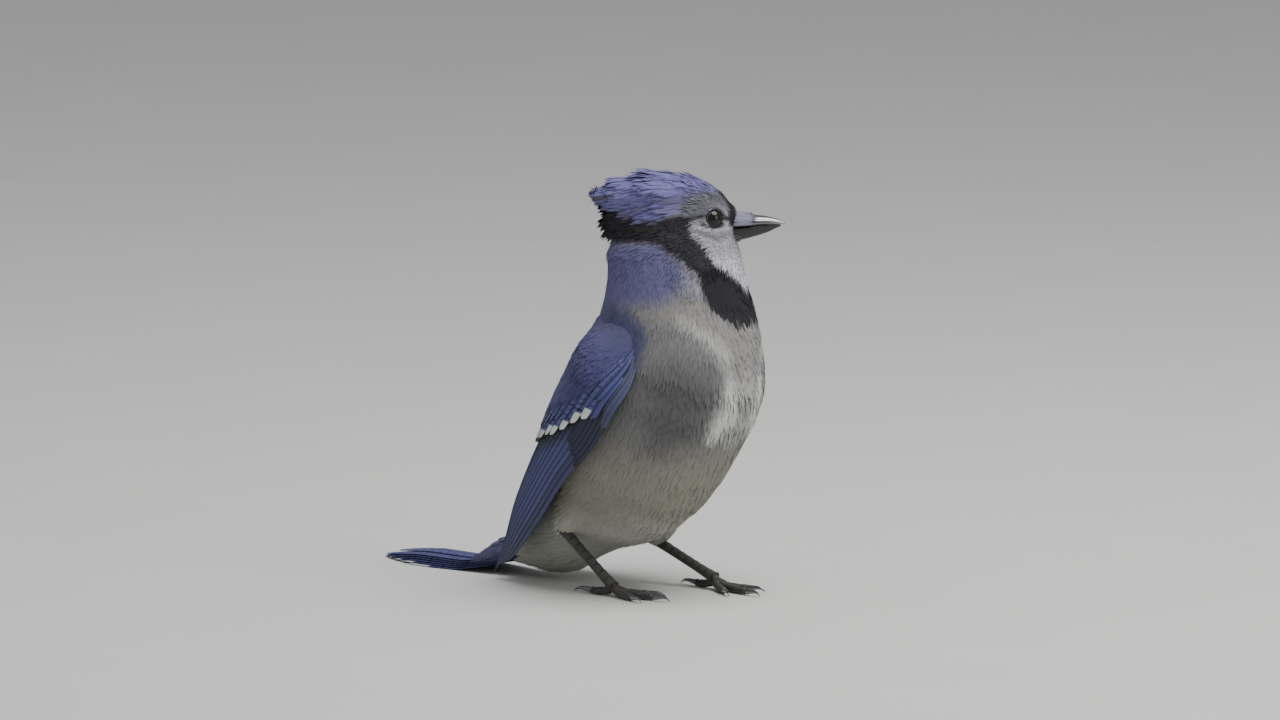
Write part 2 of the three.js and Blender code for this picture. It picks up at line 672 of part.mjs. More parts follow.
function nodeOf(name, solid, finish) {
  const { vertProperties, triVerts, numProp } = solid.getMesh();
  const geometry = new THREE.BufferGeometry();
  const interleaved = new THREE.InterleavedBuffer(vertProperties, numProp);
  geometry.setAttribute("position", new THREE.InterleavedBufferAttribute(interleaved, 3, 0));
  geometry.setIndex(new THREE.BufferAttribute(triVerts, 1));
  geometry.computeVertexNormals();
  const mesh = new THREE.Mesh(geometry, finish);
  mesh.name = name;
  return mesh;
}

const jay = new THREE.Group();
jay.name = "blue_jay";
jay.add(
  nodeOf("torso", torso, MATERIALS.paleFeather),
  nodeOf("neck", neck, MATERIALS.neckFeather),
  nodeOf("head", head, MATERIALS.paleFeather),
  nodeOf("crest", crest, MATERIALS.crestFeather),
  nodeOf("bill_upper", billUpper, MATERIALS.horn),
  nodeOf("bill_lower", billLower, MATERIALS.horn),
  nodeOf("tail", tail, MATERIALS.wingFeather),
);
SIDES.forEach((name, i) => {
  jay.add(nodeOf(`eye_${name}`, eyes[i].ball, MATERIALS.eye));
  jay.add(nodeOf(`wing_${name}`, wings[i], MATERIALS.wingFeather));
});
for (const { name, shank, foot, claws } of LEGS.map(legOf)) {
  jay.add(nodeOf(`shank_${name}`, shank, MATERIALS.scale), nodeOf(`foot_${name}`, foot, MATERIALS.scale));
  for (const claw of claws) jay.add(nodeOf(claw.name, claw.solid, MATERIALS.horn));
}

// The origin is the middle of the bounding box, on the floor.
const box = new THREE.Box3().setFromObject(jay);
jay.position.set(-(box.min.x + box.max.x) / 2, -(box.min.y + box.max.y) / 2, 0);

export default jay;
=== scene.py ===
# %% [markdown]
# # A blue jay in its plumage
#
# The model is a life-size bird that stands upright with its head turned to its left. This lesson dresses
# the plain solids of the frame in skin, feathers, eyes, bill and scaled legs.
#
# The frame comes first, because every piece is placed from it. Its sizes are in metres, while the lengths
# below are written in millimetres, as a bird is measured.

# %% Load the frame
import math

import bmesh
import bpy
import numpy as np
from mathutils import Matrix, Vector
from mathutils.bvhtree import BVHTree


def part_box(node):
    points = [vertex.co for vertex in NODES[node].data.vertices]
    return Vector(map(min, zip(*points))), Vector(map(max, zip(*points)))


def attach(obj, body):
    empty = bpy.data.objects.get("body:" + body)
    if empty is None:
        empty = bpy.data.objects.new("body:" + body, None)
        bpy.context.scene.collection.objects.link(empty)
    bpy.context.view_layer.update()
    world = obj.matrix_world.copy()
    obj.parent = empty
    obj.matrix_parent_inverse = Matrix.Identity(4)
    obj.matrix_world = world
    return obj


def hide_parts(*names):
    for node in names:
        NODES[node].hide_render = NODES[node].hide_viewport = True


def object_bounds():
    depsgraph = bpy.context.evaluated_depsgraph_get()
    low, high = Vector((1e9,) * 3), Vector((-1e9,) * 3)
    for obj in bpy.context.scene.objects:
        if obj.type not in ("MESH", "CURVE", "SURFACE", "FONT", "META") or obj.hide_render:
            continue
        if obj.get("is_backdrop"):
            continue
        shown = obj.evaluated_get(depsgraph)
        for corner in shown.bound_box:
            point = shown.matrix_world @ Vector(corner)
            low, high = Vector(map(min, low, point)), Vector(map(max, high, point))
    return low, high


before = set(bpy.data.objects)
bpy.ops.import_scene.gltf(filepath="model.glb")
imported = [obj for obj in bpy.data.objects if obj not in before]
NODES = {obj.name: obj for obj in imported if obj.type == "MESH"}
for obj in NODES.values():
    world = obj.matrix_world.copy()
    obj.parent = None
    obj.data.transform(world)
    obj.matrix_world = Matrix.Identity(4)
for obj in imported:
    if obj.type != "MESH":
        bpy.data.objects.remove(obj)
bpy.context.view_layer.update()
MM = 0.001

# %% [markdown]
# ## Where the head looks and where the body stands
#
# A bird's head is its own world: everything on it is measured forwards from the upright axis of the neck,
# to the left, and up from the floor. The two eyes of the frame give that axis, since they lie a known way
# ahead of it. The body's measures start below the middle of the feet, a little behind the axis.

# %% Measure from the bird's own axes
HEAD_TURN = math.radians(42)  # how far the head looks to the left of the body
EYE_AHEAD = 17.2  # the eyes' middle, forwards from the neck's axis
AXIS_AHEAD = 6  # the neck's axis, forwards from the body's zero
AHEAD = np.array([math.cos(HEAD_TURN), math.sin(HEAD_TURN), 0.0])
LEFT = np.array([-math.sin(HEAD_TURN), math.cos(HEAD_TURN), 0.0])
UP = np.array([0.0, 0.0, 1.0])


def middle_of(node):
    low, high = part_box(node)
    return (np.array(low) + np.array(high)) / 2


EYES = {side: middle_of(f"eye_{side}") for side in ("right", "left")}
NECK_AXIS = (EYES["right"] + EYES["left"]) / 2 - AHEAD * EYE_AHEAD * MM
NECK_AXIS[2] = 0
BODY_ZERO = NECK_AXIS - np.array([AXIS_AHEAD * MM, 0, 0])


def head_place(ahead, left, up):
    return NECK_AXIS + (AHEAD * ahead + LEFT * left + UP * up) * MM


def in_head(places):
    off = (places - NECK_AXIS) / MM
    return off @ AHEAD, off @ LEFT, off[:, 2]


def body_place(x, y, z):
    return BODY_ZERO + np.array([x, y, z]) * MM


def in_body(places):
    return ((places - BODY_ZERO) / MM).T


def gap_to_eyes(places):
    return np.min([np.linalg.norm(places - eye, axis=1) for eye in EYES.values()], axis=0) / MM


print("neck axis:", np.round(NECK_AXIS / MM, 1), "mm")

# %% [markdown]
# ## Small tools
#
# A few helpers serve every piece: one makes a mesh from lists, one writes a number for each point of it,
# which materials and Geometry Nodes read by name, and one hands a finished piece to the frame. Others shape
# what repeats on a bird: smooth steps and curves, and tubes with closed ends.

# %% Helpers for pieces
def placed(name, data):
    """A new object in the scene."""
    made = bpy.data.objects.new(name, data)
    bpy.context.scene.collection.objects.link(made)
    return made


def mesh_piece(name, places, faces):
    mesh = bpy.data.meshes.new(name)
    mesh.from_pydata([tuple(p) for p in places], [], faces)
    mesh.shade_smooth()
    return placed(name, mesh)


def write(mesh, **numbers):
    """Write named numbers or directions on a mesh, one for each point."""
    for name, values in numbers.items():
        values = np.ascontiguousarray(values, np.float32)
        kind, field = ("FLOAT_VECTOR", "vector") if values.ndim == 2 else ("FLOAT", "value")
        mesh.attributes.new(name, kind, "POINT").data.foreach_set(field, values.ravel())


def lay_map(mesh, name, flats):
    """Write a UV map that has one place for each point."""
    corners = np.array([loop.vertex_index for loop in mesh.loops])
    layer = mesh.uv_layers.new(name=name)
    layer.data.foreach_set("uv", np.array(flats, np.float32)[corners].ravel())


def places_of(mesh):
    places = np.empty(len(mesh.vertices) * 3)
    mesh.vertices.foreach_get("co", places)
    return places.reshape(-1, 3)


def normals_of(mesh):
    normals = np.empty(len(mesh.vertices) * 3)
    mesh.vertex_normals.foreach_get("vector", normals)
    return normals.reshape(-1, 3)


def applied(piece):
    """Turn a piece with its modifiers into a plain mesh."""
    graph = bpy.context.evaluated_depsgraph_get()
    mesh = bpy.data.meshes.new_from_object(piece.evaluated_get(graph))
    piece.modifiers.clear()
    piece.data = mesh
    return piece


def hand_over(piece, slot, material, *nodes):
    """Give a piece its material, and the frame its body and the nodes that it replaces; slot is not used."""
    piece.data.materials.clear()
    piece.data.materials.append(material)
    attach(piece, "root")
    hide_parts(*nodes)
    triangles = sum(len(face.vertices) - 2 for face in piece.data.polygons)
    print(f"{piece.name}: {triangles} triangles")


# %% Helpers for shapes
def eased(value, low, high):
    share = np.clip((np.asarray(value, float) - low) / (high - low), 0, 1)
    return share * share * (3 - 2 * share)


def unit(ways):
    return ways / np.maximum(np.linalg.norm(ways, axis=-1, keepdims=True), 1e-9)


def signed_power(value, power):
    return np.sign(value) * np.abs(value) ** power


def along(points, share):
    """A smooth curve through points, read at shares of its way from 0 to 1."""
    points = np.array(points, float)
    ends = np.vstack([2 * points[0] - points[1], points, 2 * points[-1] - points[-2]])
    share = np.clip(np.asarray(share, float), 0, 1) * (len(points) - 1)
    start = np.minimum(share.astype(int), len(points) - 2)
    t = (share - start)[..., None]
    a, b, c, d = (ends[start + i] for i in range(4))
    return 0.5 * (2 * b + (c - a) * t + (2 * a - 5 * b + 4 * c - d) * t**2 + (3 * b - a - 3 * c + d) * t**3)


def tube_grid(rows, around, start=0, end=1):
    """Shares of the way along a tube and turns round it, as two grids."""
    turns = np.arange(around) * 2 * math.pi / around
    return np.meshgrid(np.linspace(start, end, rows), turns, indexing="ij")


def closed_tube(rings):
    """Faces of a tube of rings, given as an array of rings by points, and of the caps at its ends."""
    rows, around = rings.shape[:2]
    faces = []
    for i in range(rows - 1):
        for j in range(around):
            k = (j + 1) % around
            faces.append((i * around + j, i * around + k, (i + 1) * around + k, (i + 1) * around + j))
    first, last = rows * around, rows * around + 1
    for j in range(around):
        k = (j + 1) % around
        faces.append((first, k, j))
        faces.append((last, (rows - 1) * around + j, (rows - 1) * around + k))
    places = np.vstack([rings.reshape(-1, 3), rings[0].mean(0), rings[-1].mean(0)])
    return places, faces


def turned_out(piece):
    build = bmesh.new()
    build.from_mesh(piece.data)
    bmesh.ops.remove_doubles(build, verts=build.verts, dist=1e-7)
    bmesh.ops.recalc_face_normals(build, faces=build.faces)
    build.to_mesh(piece.data)
    build.free()
    return piece


# %% [markdown]
# ## One node at a time
#
# Materials here are trees of nodes. One small function adds a node, sets it up and links it, and another
# turns the hex colours that a painter would note down into the linear light that Blender works in. The
# others wrap the few nodes that most materials here use.

# %% Helpers for materials
def add(tree, kind, links=None, **settings):
    made = tree.nodes.new(kind)
    for key, value in settings.items():
        setattr(made, key, value)
    for socket, source in (links or {}).items():
        if isinstance(source, bpy.types.NodeSocket):
            tree.links.new(source, made.inputs[socket])
        else:
            made.inputs[socket].default_value = source
    return made


def colour(code):
    parts = [int(code[i : i + 2], 16) / 255 for i in (1, 3, 5)]
    return tuple(c / 12.92 if c <= 0.04045 else ((c + 0.055) / 1.055) ** 2.4 for c in parts) + (1.0,)


def blend(tree, share, first, second, how="MIX"):
    links = {0: share, 6: first, 7: second}
    return add(tree, "ShaderNodeMix", links, data_type="RGBA", blend_type=how).outputs[2]


def reckon(tree, how, *values):
    return add(tree, "ShaderNodeMath", dict(enumerate(values)), operation=how).outputs[0]


def reading(tree, name):
    return add(tree, "ShaderNodeAttribute", attribute_name=name).outputs["Fac"]


def bumped(tree, height, strength, reach_mm):
    links = {"Height": height, "Strength": strength, "Distance": reach_mm * MM}
    return add(tree, "ShaderNodeBump", links).outputs[0]


def ramp(tree, value, low, high):
    """0 up to the low value and 1 from the high one, or the other way round if low is the higher."""
    return add(tree, "ShaderNodeMapRange", {0: value, 1: low, 2: high}).outputs[0]


def dimmed(tree, shade, light):
    """A colour times a plain number."""
    grey = add(tree, "ShaderNodeCombineColor", {0: light, 1: light, 2: light}).outputs[0]
    return blend(tree, 1.0, shade, grey, "MULTIPLY")


def object_place(tree):
    return add(tree, "ShaderNodeTexCoord").outputs["Object"]


def mottled(tree, per_mm, detail):
    """Noise with so many blotches to the millimetre."""
    links = {"Vector": object_place(tree), "Scale": per_mm / MM, "Detail": detail}
    return add(tree, "ShaderNodeTexNoise", links).outputs[0]


def beaded(tree, per_mm):
    links = {"Vector": object_place(tree), "Scale": per_mm / MM}
    return add(tree, "ShaderNodeTexVoronoi", links).outputs[0]


def new_material(name):
    material = bpy.data.materials.new(name)
    material.use_nodes = True
    material.node_tree.nodes.clear()
    return material, material.node_tree


def finish_material(tree, shade, rough, more):
    links = {"Base Color": shade, "Roughness": rough} | more
    shader = add(tree, "ShaderNodeBsdfPrincipled", links)
    add(tree, "ShaderNodeOutputMaterial", {"Surface": shader.outputs[0]})


# %% [markdown]
# ## Contour feathers: the colours
#
# Body feathers are keratin barbs that hang loosely side by side, so they scatter light softly and show no
# gloss. Their colour changes from place to place in the bird's markings. The markings are worked out below
# as numbers on the skin, each tuft carries the numbers of its root, and this one material mixes them. Each
# tuft's tone differs a little from the next one's, and it is darker at its root, where it lies in shade.

# %% The plumage material
PLUMAGE = {
    "grey": "#7b7a7b",
    # This colour is painted shade, laid over the grey down the breast's middle, its flank and a crease.
    "warm": "#8a887c",
    "breast_shade": "#59585b",
    "light": "#8d8a88",
    "white": "#d2d2cd",
    "lilac": "#9491a3",
    "pale": "#d8d6e0",
    "mantle": "#66648c",
    "crown": "#7672a6",
    "brow": "#66646f",
    "wing": "#45476f",
    "black": "#232227",
    "ear": "#3b3a3f",
}


def plumage_material():
    material, tree = new_material("loose_feather_barbs")
    mix = colour(PLUMAGE["grey"])
    for mask in list(PLUMAGE)[1:]:
        mix = blend(tree, reading(tree, mask), mix, colour(PLUMAGE[mask]))
    tone = reckon(tree, "MULTIPLY_ADD", reading(tree, "tone"), 0.1, 0.85)
    tone = reckon(tree, "MULTIPLY_ADD", mottled(tree, 0.4, 2.0), 0.18, tone)
    # Painted shade, darker towards each tuft's root.
    depth = reckon(tree, "MULTIPLY_ADD", reading(tree, "along"), 0.14, 0.88)
    mix = dimmed(tree, mix, reckon(tree, "MULTIPLY", tone, depth))
    barbs = mottled(tree, 1 / 0.3, 1.0)
    rough = reckon(tree, "MULTIPLY_ADD", barbs, 0.2, 0.75)
    relief = bumped(tree, barbs, 0.2, 0.1)
    finish_material(tree, mix, rough, {"Specular IOR Level": 0.2, "Normal": relief})
    return material


loose_barbs = plumage_material()
print("plumage colours:", len(PLUMAGE))

# %% [markdown]
# ## The skin
#
# Under its feathers a bird has one smooth skin. The frame's torso, neck and head are separate solids with
# thin seams, and the crest is a solid of coarse feathers. Their copies are grown by a hair's breadth, so
# that the seams close, and remeshed with small voxels, which makes one closed surface of them. Smoothing
# then takes off the facets. What the frame's solids carry in front of the forehead and behind the nape are
# feathers, so the skin stops short of them.

# %% Make one skin of the flesh
GROWTH = 0.3
VOXEL = 1.15
SMOOTHINGS = 14
# How far back the head's skin goes, and how far forwards at heights.
SKIN_BACK = -29.5
SKIN_FRONT = ((148, 151, 154, 158, 161, 166, 171), (31.5, 30, 28.6, 27, 26.6, 27.8, 29))


def joined_copy(name, nodes):
    build = bmesh.new()
    for node in nodes:
        build.from_mesh(NODES[node].data)
    bmesh.ops.remove_doubles(build, verts=build.verts, dist=1e-6)
    mesh = bpy.data.meshes.new(name)
    build.to_mesh(mesh)
    build.free()
    return placed(name, mesh)


def remeshed(piece, voxel, growth, rounds):
    grow = piece.modifiers.new("grow", "DISPLACE")
    grow.strength, grow.mid_level = growth * MM, 0
    remesh = piece.modifiers.new("remesh", "REMESH")
    remesh.mode, remesh.voxel_size = "VOXEL", voxel * MM
    smooth = piece.modifiers.new("smooth", "SMOOTH")
    smooth.factor, smooth.iterations = 0.5, rounds
    return applied(piece)


def relaxed(mesh, values, rounds, share=1.0):
    """Values at the points of a mesh, evened out among neighbours."""
    ends = np.empty(len(mesh.edges) * 2, np.int64)
    mesh.edges.foreach_get("vertices", ends)
    first, second = ends.reshape(-1, 2).T
    count = np.bincount(ends, minlength=len(values))[:, None]
    share = np.broadcast_to(share, len(values))[:, None]

    def beside(value):
        return np.bincount(first, value[second], len(value)) + np.bincount(second, value[first], len(value))

    for _ in range(rounds):
        near = np.stack([beside(value) for value in values.T], 1)
        values = values * (1 - 0.5 * share) + near / count * 0.5 * share
    return values


def largest_part(piece):
    build = bmesh.new()
    build.from_mesh(piece.data)
    left, parts = set(build.verts), []
    while left:
        part, edge = set(), [left.pop()]
        while edge:
            vert = edge.pop()
            part.add(vert)
            for link in vert.link_edges:
                other = link.other_vert(vert)
                if other in left:
                    left.discard(other)
                    edge.append(other)
        parts.append(part)
    keep = max(parts, key=len)
    bmesh.ops.delete(build, geom=[v for v in build.verts if v not in keep], context="VERTS")
    build.to_mesh(piece.data)
    build.free()
    return piece


skin = joined_copy("skin", ["torso", "neck", "head", "crest"])
largest_part(remeshed(skin, VOXEL, GROWTH, SMOOTHINGS))
form = places_of(skin.data)
ahead, left, up = in_head(form)
# How far each point lies past the forehead's and the nape's ends, where it is brought back to them.
past = ahead - np.interp(up, *SKIN_FRONT) + 0.015 * left**2
over = np.where(past > 2, past, np.maximum(past + 2, 0) ** 2 / 8) * eased(up, 144, 149)
over += np.minimum(ahead - SKIN_BACK, 0) * ((up > 150) & (up < 171))
form -= over[:, None] * AHEAD * MM
# The body is evened out most, the crown less, and the face in front of the eyes least.
form = relaxed(skin.data, form, 45, eased(up, 150, 138))
form = relaxed(skin.data, form, 12, eased(up, 168, 173) * eased(ahead, -30, -24))
form = relaxed(skin.data, form, 8, eased(ahead, 21, 26) * eased(up, 138, 144))
skin.data.vertices.foreach_set("co", form.ravel())
skin.data.update()
print("skin:", len(skin.data.polygons), "faces")

# %% [markdown]
# ## Combing the coat
#
# Feathers all point from the bill to the tail, but they turn round the eye, over the cheeks and down the
# breast. As a groomer would, the table below combs a few places one by one: each row is a place, the way that
# the feathers there lie, and their length. Every point of the skin takes a blend of the rows near it, laid
# flat on the surface.

# %% The comb
COMB_HEAD = [
    # ahead, left, up, then the lie in the same order, then the feathers' length
    (28, 0, 169, -0.5, 0, 0.85, 1.6),
    (24, 0, 175, -0.8, 0, 0.6, 3),
    (27, 5, 163, -0.75, 0.6, 0.1, 1.5),
    (26, 5, 157, -0.7, 0.5, -0.5, 2),
    (14, 0, 181, -1, 0, 0.3, 7),
    (4, 0, 184, -1, 0, 0, 12),
    (-12, 0, 185, -1, 0, -0.08, 13),
    (-26, 0, 181, -1, 0, -0.2, 8),
    (-34, 0, 174, -1, 0, 0, 4),
    (16, 10, 176, -1, 0.25, 0.3, 3.5),
    (3, 14, 175, -1, 0.05, -0.1, 11),
    (-8, 13, 168, -1, -0.05, -0.2, 12),
    (-20, 8, 171, -1, -0.2, -0.1, 11),
    (-22, 0, 165, -0.85, 0, -0.45, 5.5),
    (17, 10, 171.5, -0.95, 0.2, 0.2, 1.7),
    (21.5, 9.5, 165, -0.4, 0.6, 0.2, 1.2),
    (12.5, 13, 165, -1, 0.3, -0.1, 1.9),
    (17, 12.5, 159.5, -0.85, 0.3, -0.4, 1.8),
    (20, 11, 154, -0.75, 0.3, -0.6, 2.6),
    (8, 16, 157, -0.85, 0.2, -0.5, 3),
    (0, 17, 161, -1, 0, -0.25, 5),
    (-12, 15, 158, -0.9, -0.2, -0.4, 6),
    (-24, 5, 160, -0.75, -0.2, -0.65, 5),
    (-28, 0, 156, -0.4, 0, -0.9, 5.5),
    (28, 0, 153, -0.4, 0, -0.9, 2.4),
    (26, 0, 147, -0.15, 0, -1, 4),
    (20, 12, 146, -0.3, 0.1, -0.95, 4),
    (8, 20, 146, -0.4, 0, -0.9, 4.6),
    (-8, 22, 147, -0.35, 0, -0.95, 5.5),
]
COMB_BODY = [
    (34, 0, 138, 0.1, 0, -1, 6),
    (44, 0, 122, 0.2, 0, -1, 7.5),
    (52, 0, 104, 0, 0, -1, 8.5),
    (48, 0, 85, -0.3, 0, -0.95, 9.5),
    (30, 0, 62, -0.6, 0, -0.8, 10.5),
    (8, 0, 40, -0.8, 0, -0.6, 11),
    (-20, 0, 25, -0.92, 0, -0.35, 11),
    (-50, 0, 12, -1, 0, -0.12, 10),
    (-80, 0, 6, -1, 0, 0, 9),
    (18, 26, 132, 0, 0.15, -1, 6.5),
    (30, 30, 110, -0.1, 0.1, -1, 8.5),
    (22, 35, 88, -0.35, 0, -0.93, 9.5),
    (0, 36, 70, -0.55, -0.05, -0.83, 10.5),
    (-22, 28, 42, -0.8, -0.1, -0.55, 11),
    (-14, 21, 28, -0.75, 0, -0.66, 6),
    (16, 20, 27, -0.5, 0, -0.85, 6),
    (-55, 14, 22, -0.95, -0.15, -0.3, 10),
    (-20, 0, 141, -0.3, 0, -0.95, 6.5),
    (-8, 20, 135, -0.25, 0.1, -0.95, 6.5),
    (-27, 0, 118, -0.35, 0, -0.93, 9),
    (-10, 28, 112, -0.4, 0.1, -0.9, 9),
    (-38, 0, 88, -0.45, 0, -0.9, 10),
    (-52, 0, 62, -0.6, 0, -0.8, 11),
    (-70, 0, 35, -0.75, 0, -0.66, 11),
    (-84, 0, 18, -0.9, 0, -0.4, 10),
]


# %% Comb the skin
def both_sides(rows):
    return [row for r in rows for row in ([r, (r[0], -r[1], r[2], r[3], -r[4], *r[5:])] if r[1] else [r])]


guides = []
for row in both_sides(COMB_HEAD):
    guides.append((*head_place(*row[:3]), *(AHEAD * row[3] + LEFT * row[4] + UP * row[5]), row[6]))
for row in both_sides(COMB_BODY):
    guides.append((*body_place(*row[:3]), *row[3:6], row[6]))
GUIDES = np.array(guides)


def flattened(ways, normals):
    return ways - normals * (ways * normals).sum(1, keepdims=True)


def combed(places, normals):
    gap = ((places[:, None, :] - GUIDES[None, :, :3]) / MM) ** 2
    weight = 1 / (gap.sum(2) + 6) ** 2
    weight /= weight.sum(1, keepdims=True)
    lie = weight @ GUIDES[:, 3:6]
    return unit(flattened(lie, normals)), weight @ GUIDES[:, 6]


normals = unit(relaxed(skin.data, normals_of(skin.data), 8))
lie, length = combed(form, normals)
eye_gap = gap_to_eyes(form)
coat_depth = np.minimum(0.1 + 0.15 * length, 1.7) * eased(eye_gap, 4.8, 8)
base = form - normals * (coat_depth[:, None] * MM)
skin.data.vertices.foreach_set("co", base.ravel())
skin.data.update()
print("guides:", len(GUIDES), "and lengths from", round(length.min(), 1), "to", round(length.max(), 1), "mm")

# %% [markdown]
# ## The markings
#
# A blue jay's markings are alike on both sides, so they are drawn once, on the right side as it is seen from
# the front quarter, in millimetres across and up. Each point of the skin is turned with the neck and
# mirrored to that side to find where it lies in the drawing. A marking is a closed outline or a line of
# some width, and its edge is a few millimetres soft. A feather shows the colour of the place that its
# visible half lies over, not of its root's.

# %% Measure places in the drawing
VIEW_TURN, VIEW_RISE = math.radians(42), math.radians(8)
NECK_TURNS = ((104, 125, 141, 150), (0, 14, 36, 42))  # the neck's turn in degrees at heights


def seen(places):
    x, y, z = in_body(places)
    x = x - AXIS_AHEAD
    turn = np.radians(np.interp(z, *NECK_TURNS))
    front = x * np.cos(turn) + y * np.sin(turn)
    side = -np.abs(y * np.cos(turn) - x * np.sin(turn))
    x = front * np.cos(turn) - side * np.sin(turn) + AXIS_AHEAD
    y = front * np.sin(turn) + side * np.cos(turn)
    across = x * math.cos(VIEW_TURN) + y * math.sin(VIEW_TURN)
    depth = y * math.cos(VIEW_TURN) - x * math.sin(VIEW_TURN)
    return np.stack([across, z * math.cos(VIEW_RISE) + depth * math.sin(VIEW_RISE)], 1)


# %% Tools for outlines
def gap_to_line(points, line, closed=False):
    line = np.array(line, float)
    starts, ends = (line, np.roll(line, -1, 0)) if closed else (line[:-1], line[1:])
    best = np.full(len(points), 1e9)
    share_of_best = np.zeros(len(points))
    for i, (a, b) in enumerate(zip(starts, ends)):
        share = np.clip((points - a[:2]) @ (b - a)[:2] / ((b - a)[:2] @ (b - a)[:2]), 0, 1)
        gap = np.linalg.norm(points - a[:2] - share[:, None] * (b - a)[:2], axis=1)
        nearer = gap < best
        best[nearer] = gap[nearer]
        share_of_best[nearer] = (i + share)[nearer]
    return best, share_of_best


def patch(points, outline, soft):
    """How far points are inside an outline, from 0 outside to 1 inside."""
    x, y = points.T
    inside = np.zeros(len(points), bool)
    for (ax, ay), (bx, by) in zip(outline, outline[1:] + outline[:1]):
        crosses = (ay > y) != (by > y)
        inside ^= crosses & (x < ax + (y - ay) * (bx - ax) / (by - ay + 1e-12))
    gap, _ = gap_to_line(points, outline, closed=True)
    return eased(np.where(inside, gap, -gap), -soft, soft)


def streak(points, line, soft):
    """Likewise for a line whose points are across, up and half its width there."""
    gap, share = gap_to_line(points, line)
    widths = np.interp(share, np.arange(len(line)), [p[2] for p in line])
    return eased(gap, widths + soft, widths - soft)


# %% Outline the markings
# Not all outlines below are markings: the breast's darker middle, the crease in it and the dark lines at the
# back of the crest are painted shade.
BAND = [
    (-36, 152.5), (-23.4, 153.2), (-11.3, 152.6), (-1.5, 151.4), (3.4, 147.7), (10.7, 142.3), (16.2, 137.4),
    (17.6, 128.8), (21.1, 123.3), (31.4, 116), (40.6, 118), (52, 119.5), (52, 127), (45, 127.2),
    (37.6, 129.3), (33.3, 135), (26, 140.4), (22.9, 141.9), (19.3, 145.9), (15, 152), (11.3, 155),
    (11, 161.5), (7, 163.6), (-1.5, 160.8), (-9.4, 161.2), (-17.3, 163.2), (-25.9, 165.6), (-36, 168),
]
CROWN = [
    (-48, 168), (-36, 168), (-25.9, 165.6), (-17.3, 163.2), (-9.4, 161.2), (-1.5, 160.8), (5, 164),
    (9, 168.5), (15, 172), (21, 172.8), (26, 173.6), (29, 172), (36, 190), (-48, 190),
]
FACE = [
    (10.7, 163.6), (11.3, 155), (15, 152), (19.3, 145.9), (22.9, 141.9), (26, 140.4), (33.3, 135),
    (37.6, 129.3), (45, 127.2), (60, 127.2), (60, 176), (29, 172), (26, 173.6), (21, 172.8), (15, 172),
    (9, 168.5),
]
HINDNECK = [
    (-40, 123), (-20, 124.5), (-5, 126), (4, 128.5), (9, 135.5), (7.5, 142.5), (3.4, 147.7), (-1.5, 151.4),
    (-11.3, 152.6), (-23.4, 153.2), (-40, 153),
]
UPPER_BREAST = [
    (-10, 122), (8, 126.5), (16, 127), (24, 122), (31.4, 120), (40, 121), (58, 122), (58, 82), (36, 83),
    (31, 96), (27, 99), (22, 106.5), (14, 111.5), (7, 116.5), (-3, 118), (-10, 119),
]
# Painted shade down the breast's middle and flank, over its grey.
SHADED_BREAST = [(-7, 94), (4, 101), (22, 97), (23, 83), (16, 67), (0, 60), (-8, 64)]
SHOULDER = [
    (-24, 126.5), (-15, 122.3), (-9, 116.4), (-7, 111), (-8.5, 104.5), (-14, 93), (-45, 90), (-45, 126),
]
NECK_SIDE = [(7, 130), (18, 128.5), (16.5, 137), (11, 141.5), (7, 139)]
EAR = [
    (-4, 160.5), (10, 161.5), (11.3, 155), (15, 152), (19.3, 146), (22.5, 141.5), (17.5, 139.5), (12, 143.5),
    (5, 149), (-3, 153),
]
BELLY_STREAK = [(29.6, 94, 1), (30.6, 86, 3.5), (30, 80, 4.5), (26, 74, 4), (22, 69, 2)]
COLLAR_FLECK = [(15.2, 131, 0.8), (16.4, 134, 1)]
BELLY_LIGHT = [(37, 93, 3), (39, 84, 5), (36, 75, 4), (30, 67, 2)]
BREAST_FOLD = [(8, 119, 1.5), (16, 114, 2.5), (22, 110, 3), (26.5, 105, 3), (28, 99.5, 2)]
# A dark line painted in the breast's crease, where shade falls.
BREAST_CREASE_SHADE = [(31.5, 108, 0.4), (31, 102, 1), (30, 97, 0.6)]
LORAL_LINES = [
    [(25.2, 173.4, 0.6), (28.3, 171, 1.1), (30.2, 167.6, 1.6), (30.3, 164, 1.7), (30.2, 160, 1.2)],
    [(25.5, 162.5, 0.7), (30, 162, 1.2)],
    [(18, 163.4, 0.6), (13.5, 162.3, 0.6), (9, 161, 1.3)],
    [(17, 159.6, 0.4), (21.5, 157.8, 0.5), (26, 159, 0.4)],
]
GREY_LINES = [
    [(12.4, 157.8, 0.4), (18.3, 155.2, 0.7), (24.3, 153.2, 0.9), (27.5, 154.5, 0.5)],
    [(9.5, 170.5, 0.4), (12, 168.5, 0.4), (11.5, 166, 0.4)],
    [(14.5, 170, 0.4), (16, 167.5, 0.5), (15, 165.2, 0.4)],
    [(18.5, 173.5, 0.4), (23, 171.5, 0.6)],
]
BROW = [
    (3, 169.5), (4, 165), (9, 161.5), (11, 160.2), (17, 160.5), (24, 166), (28.5, 165), (30.5, 171),
    (26, 175), (17, 174), (9, 171),
]
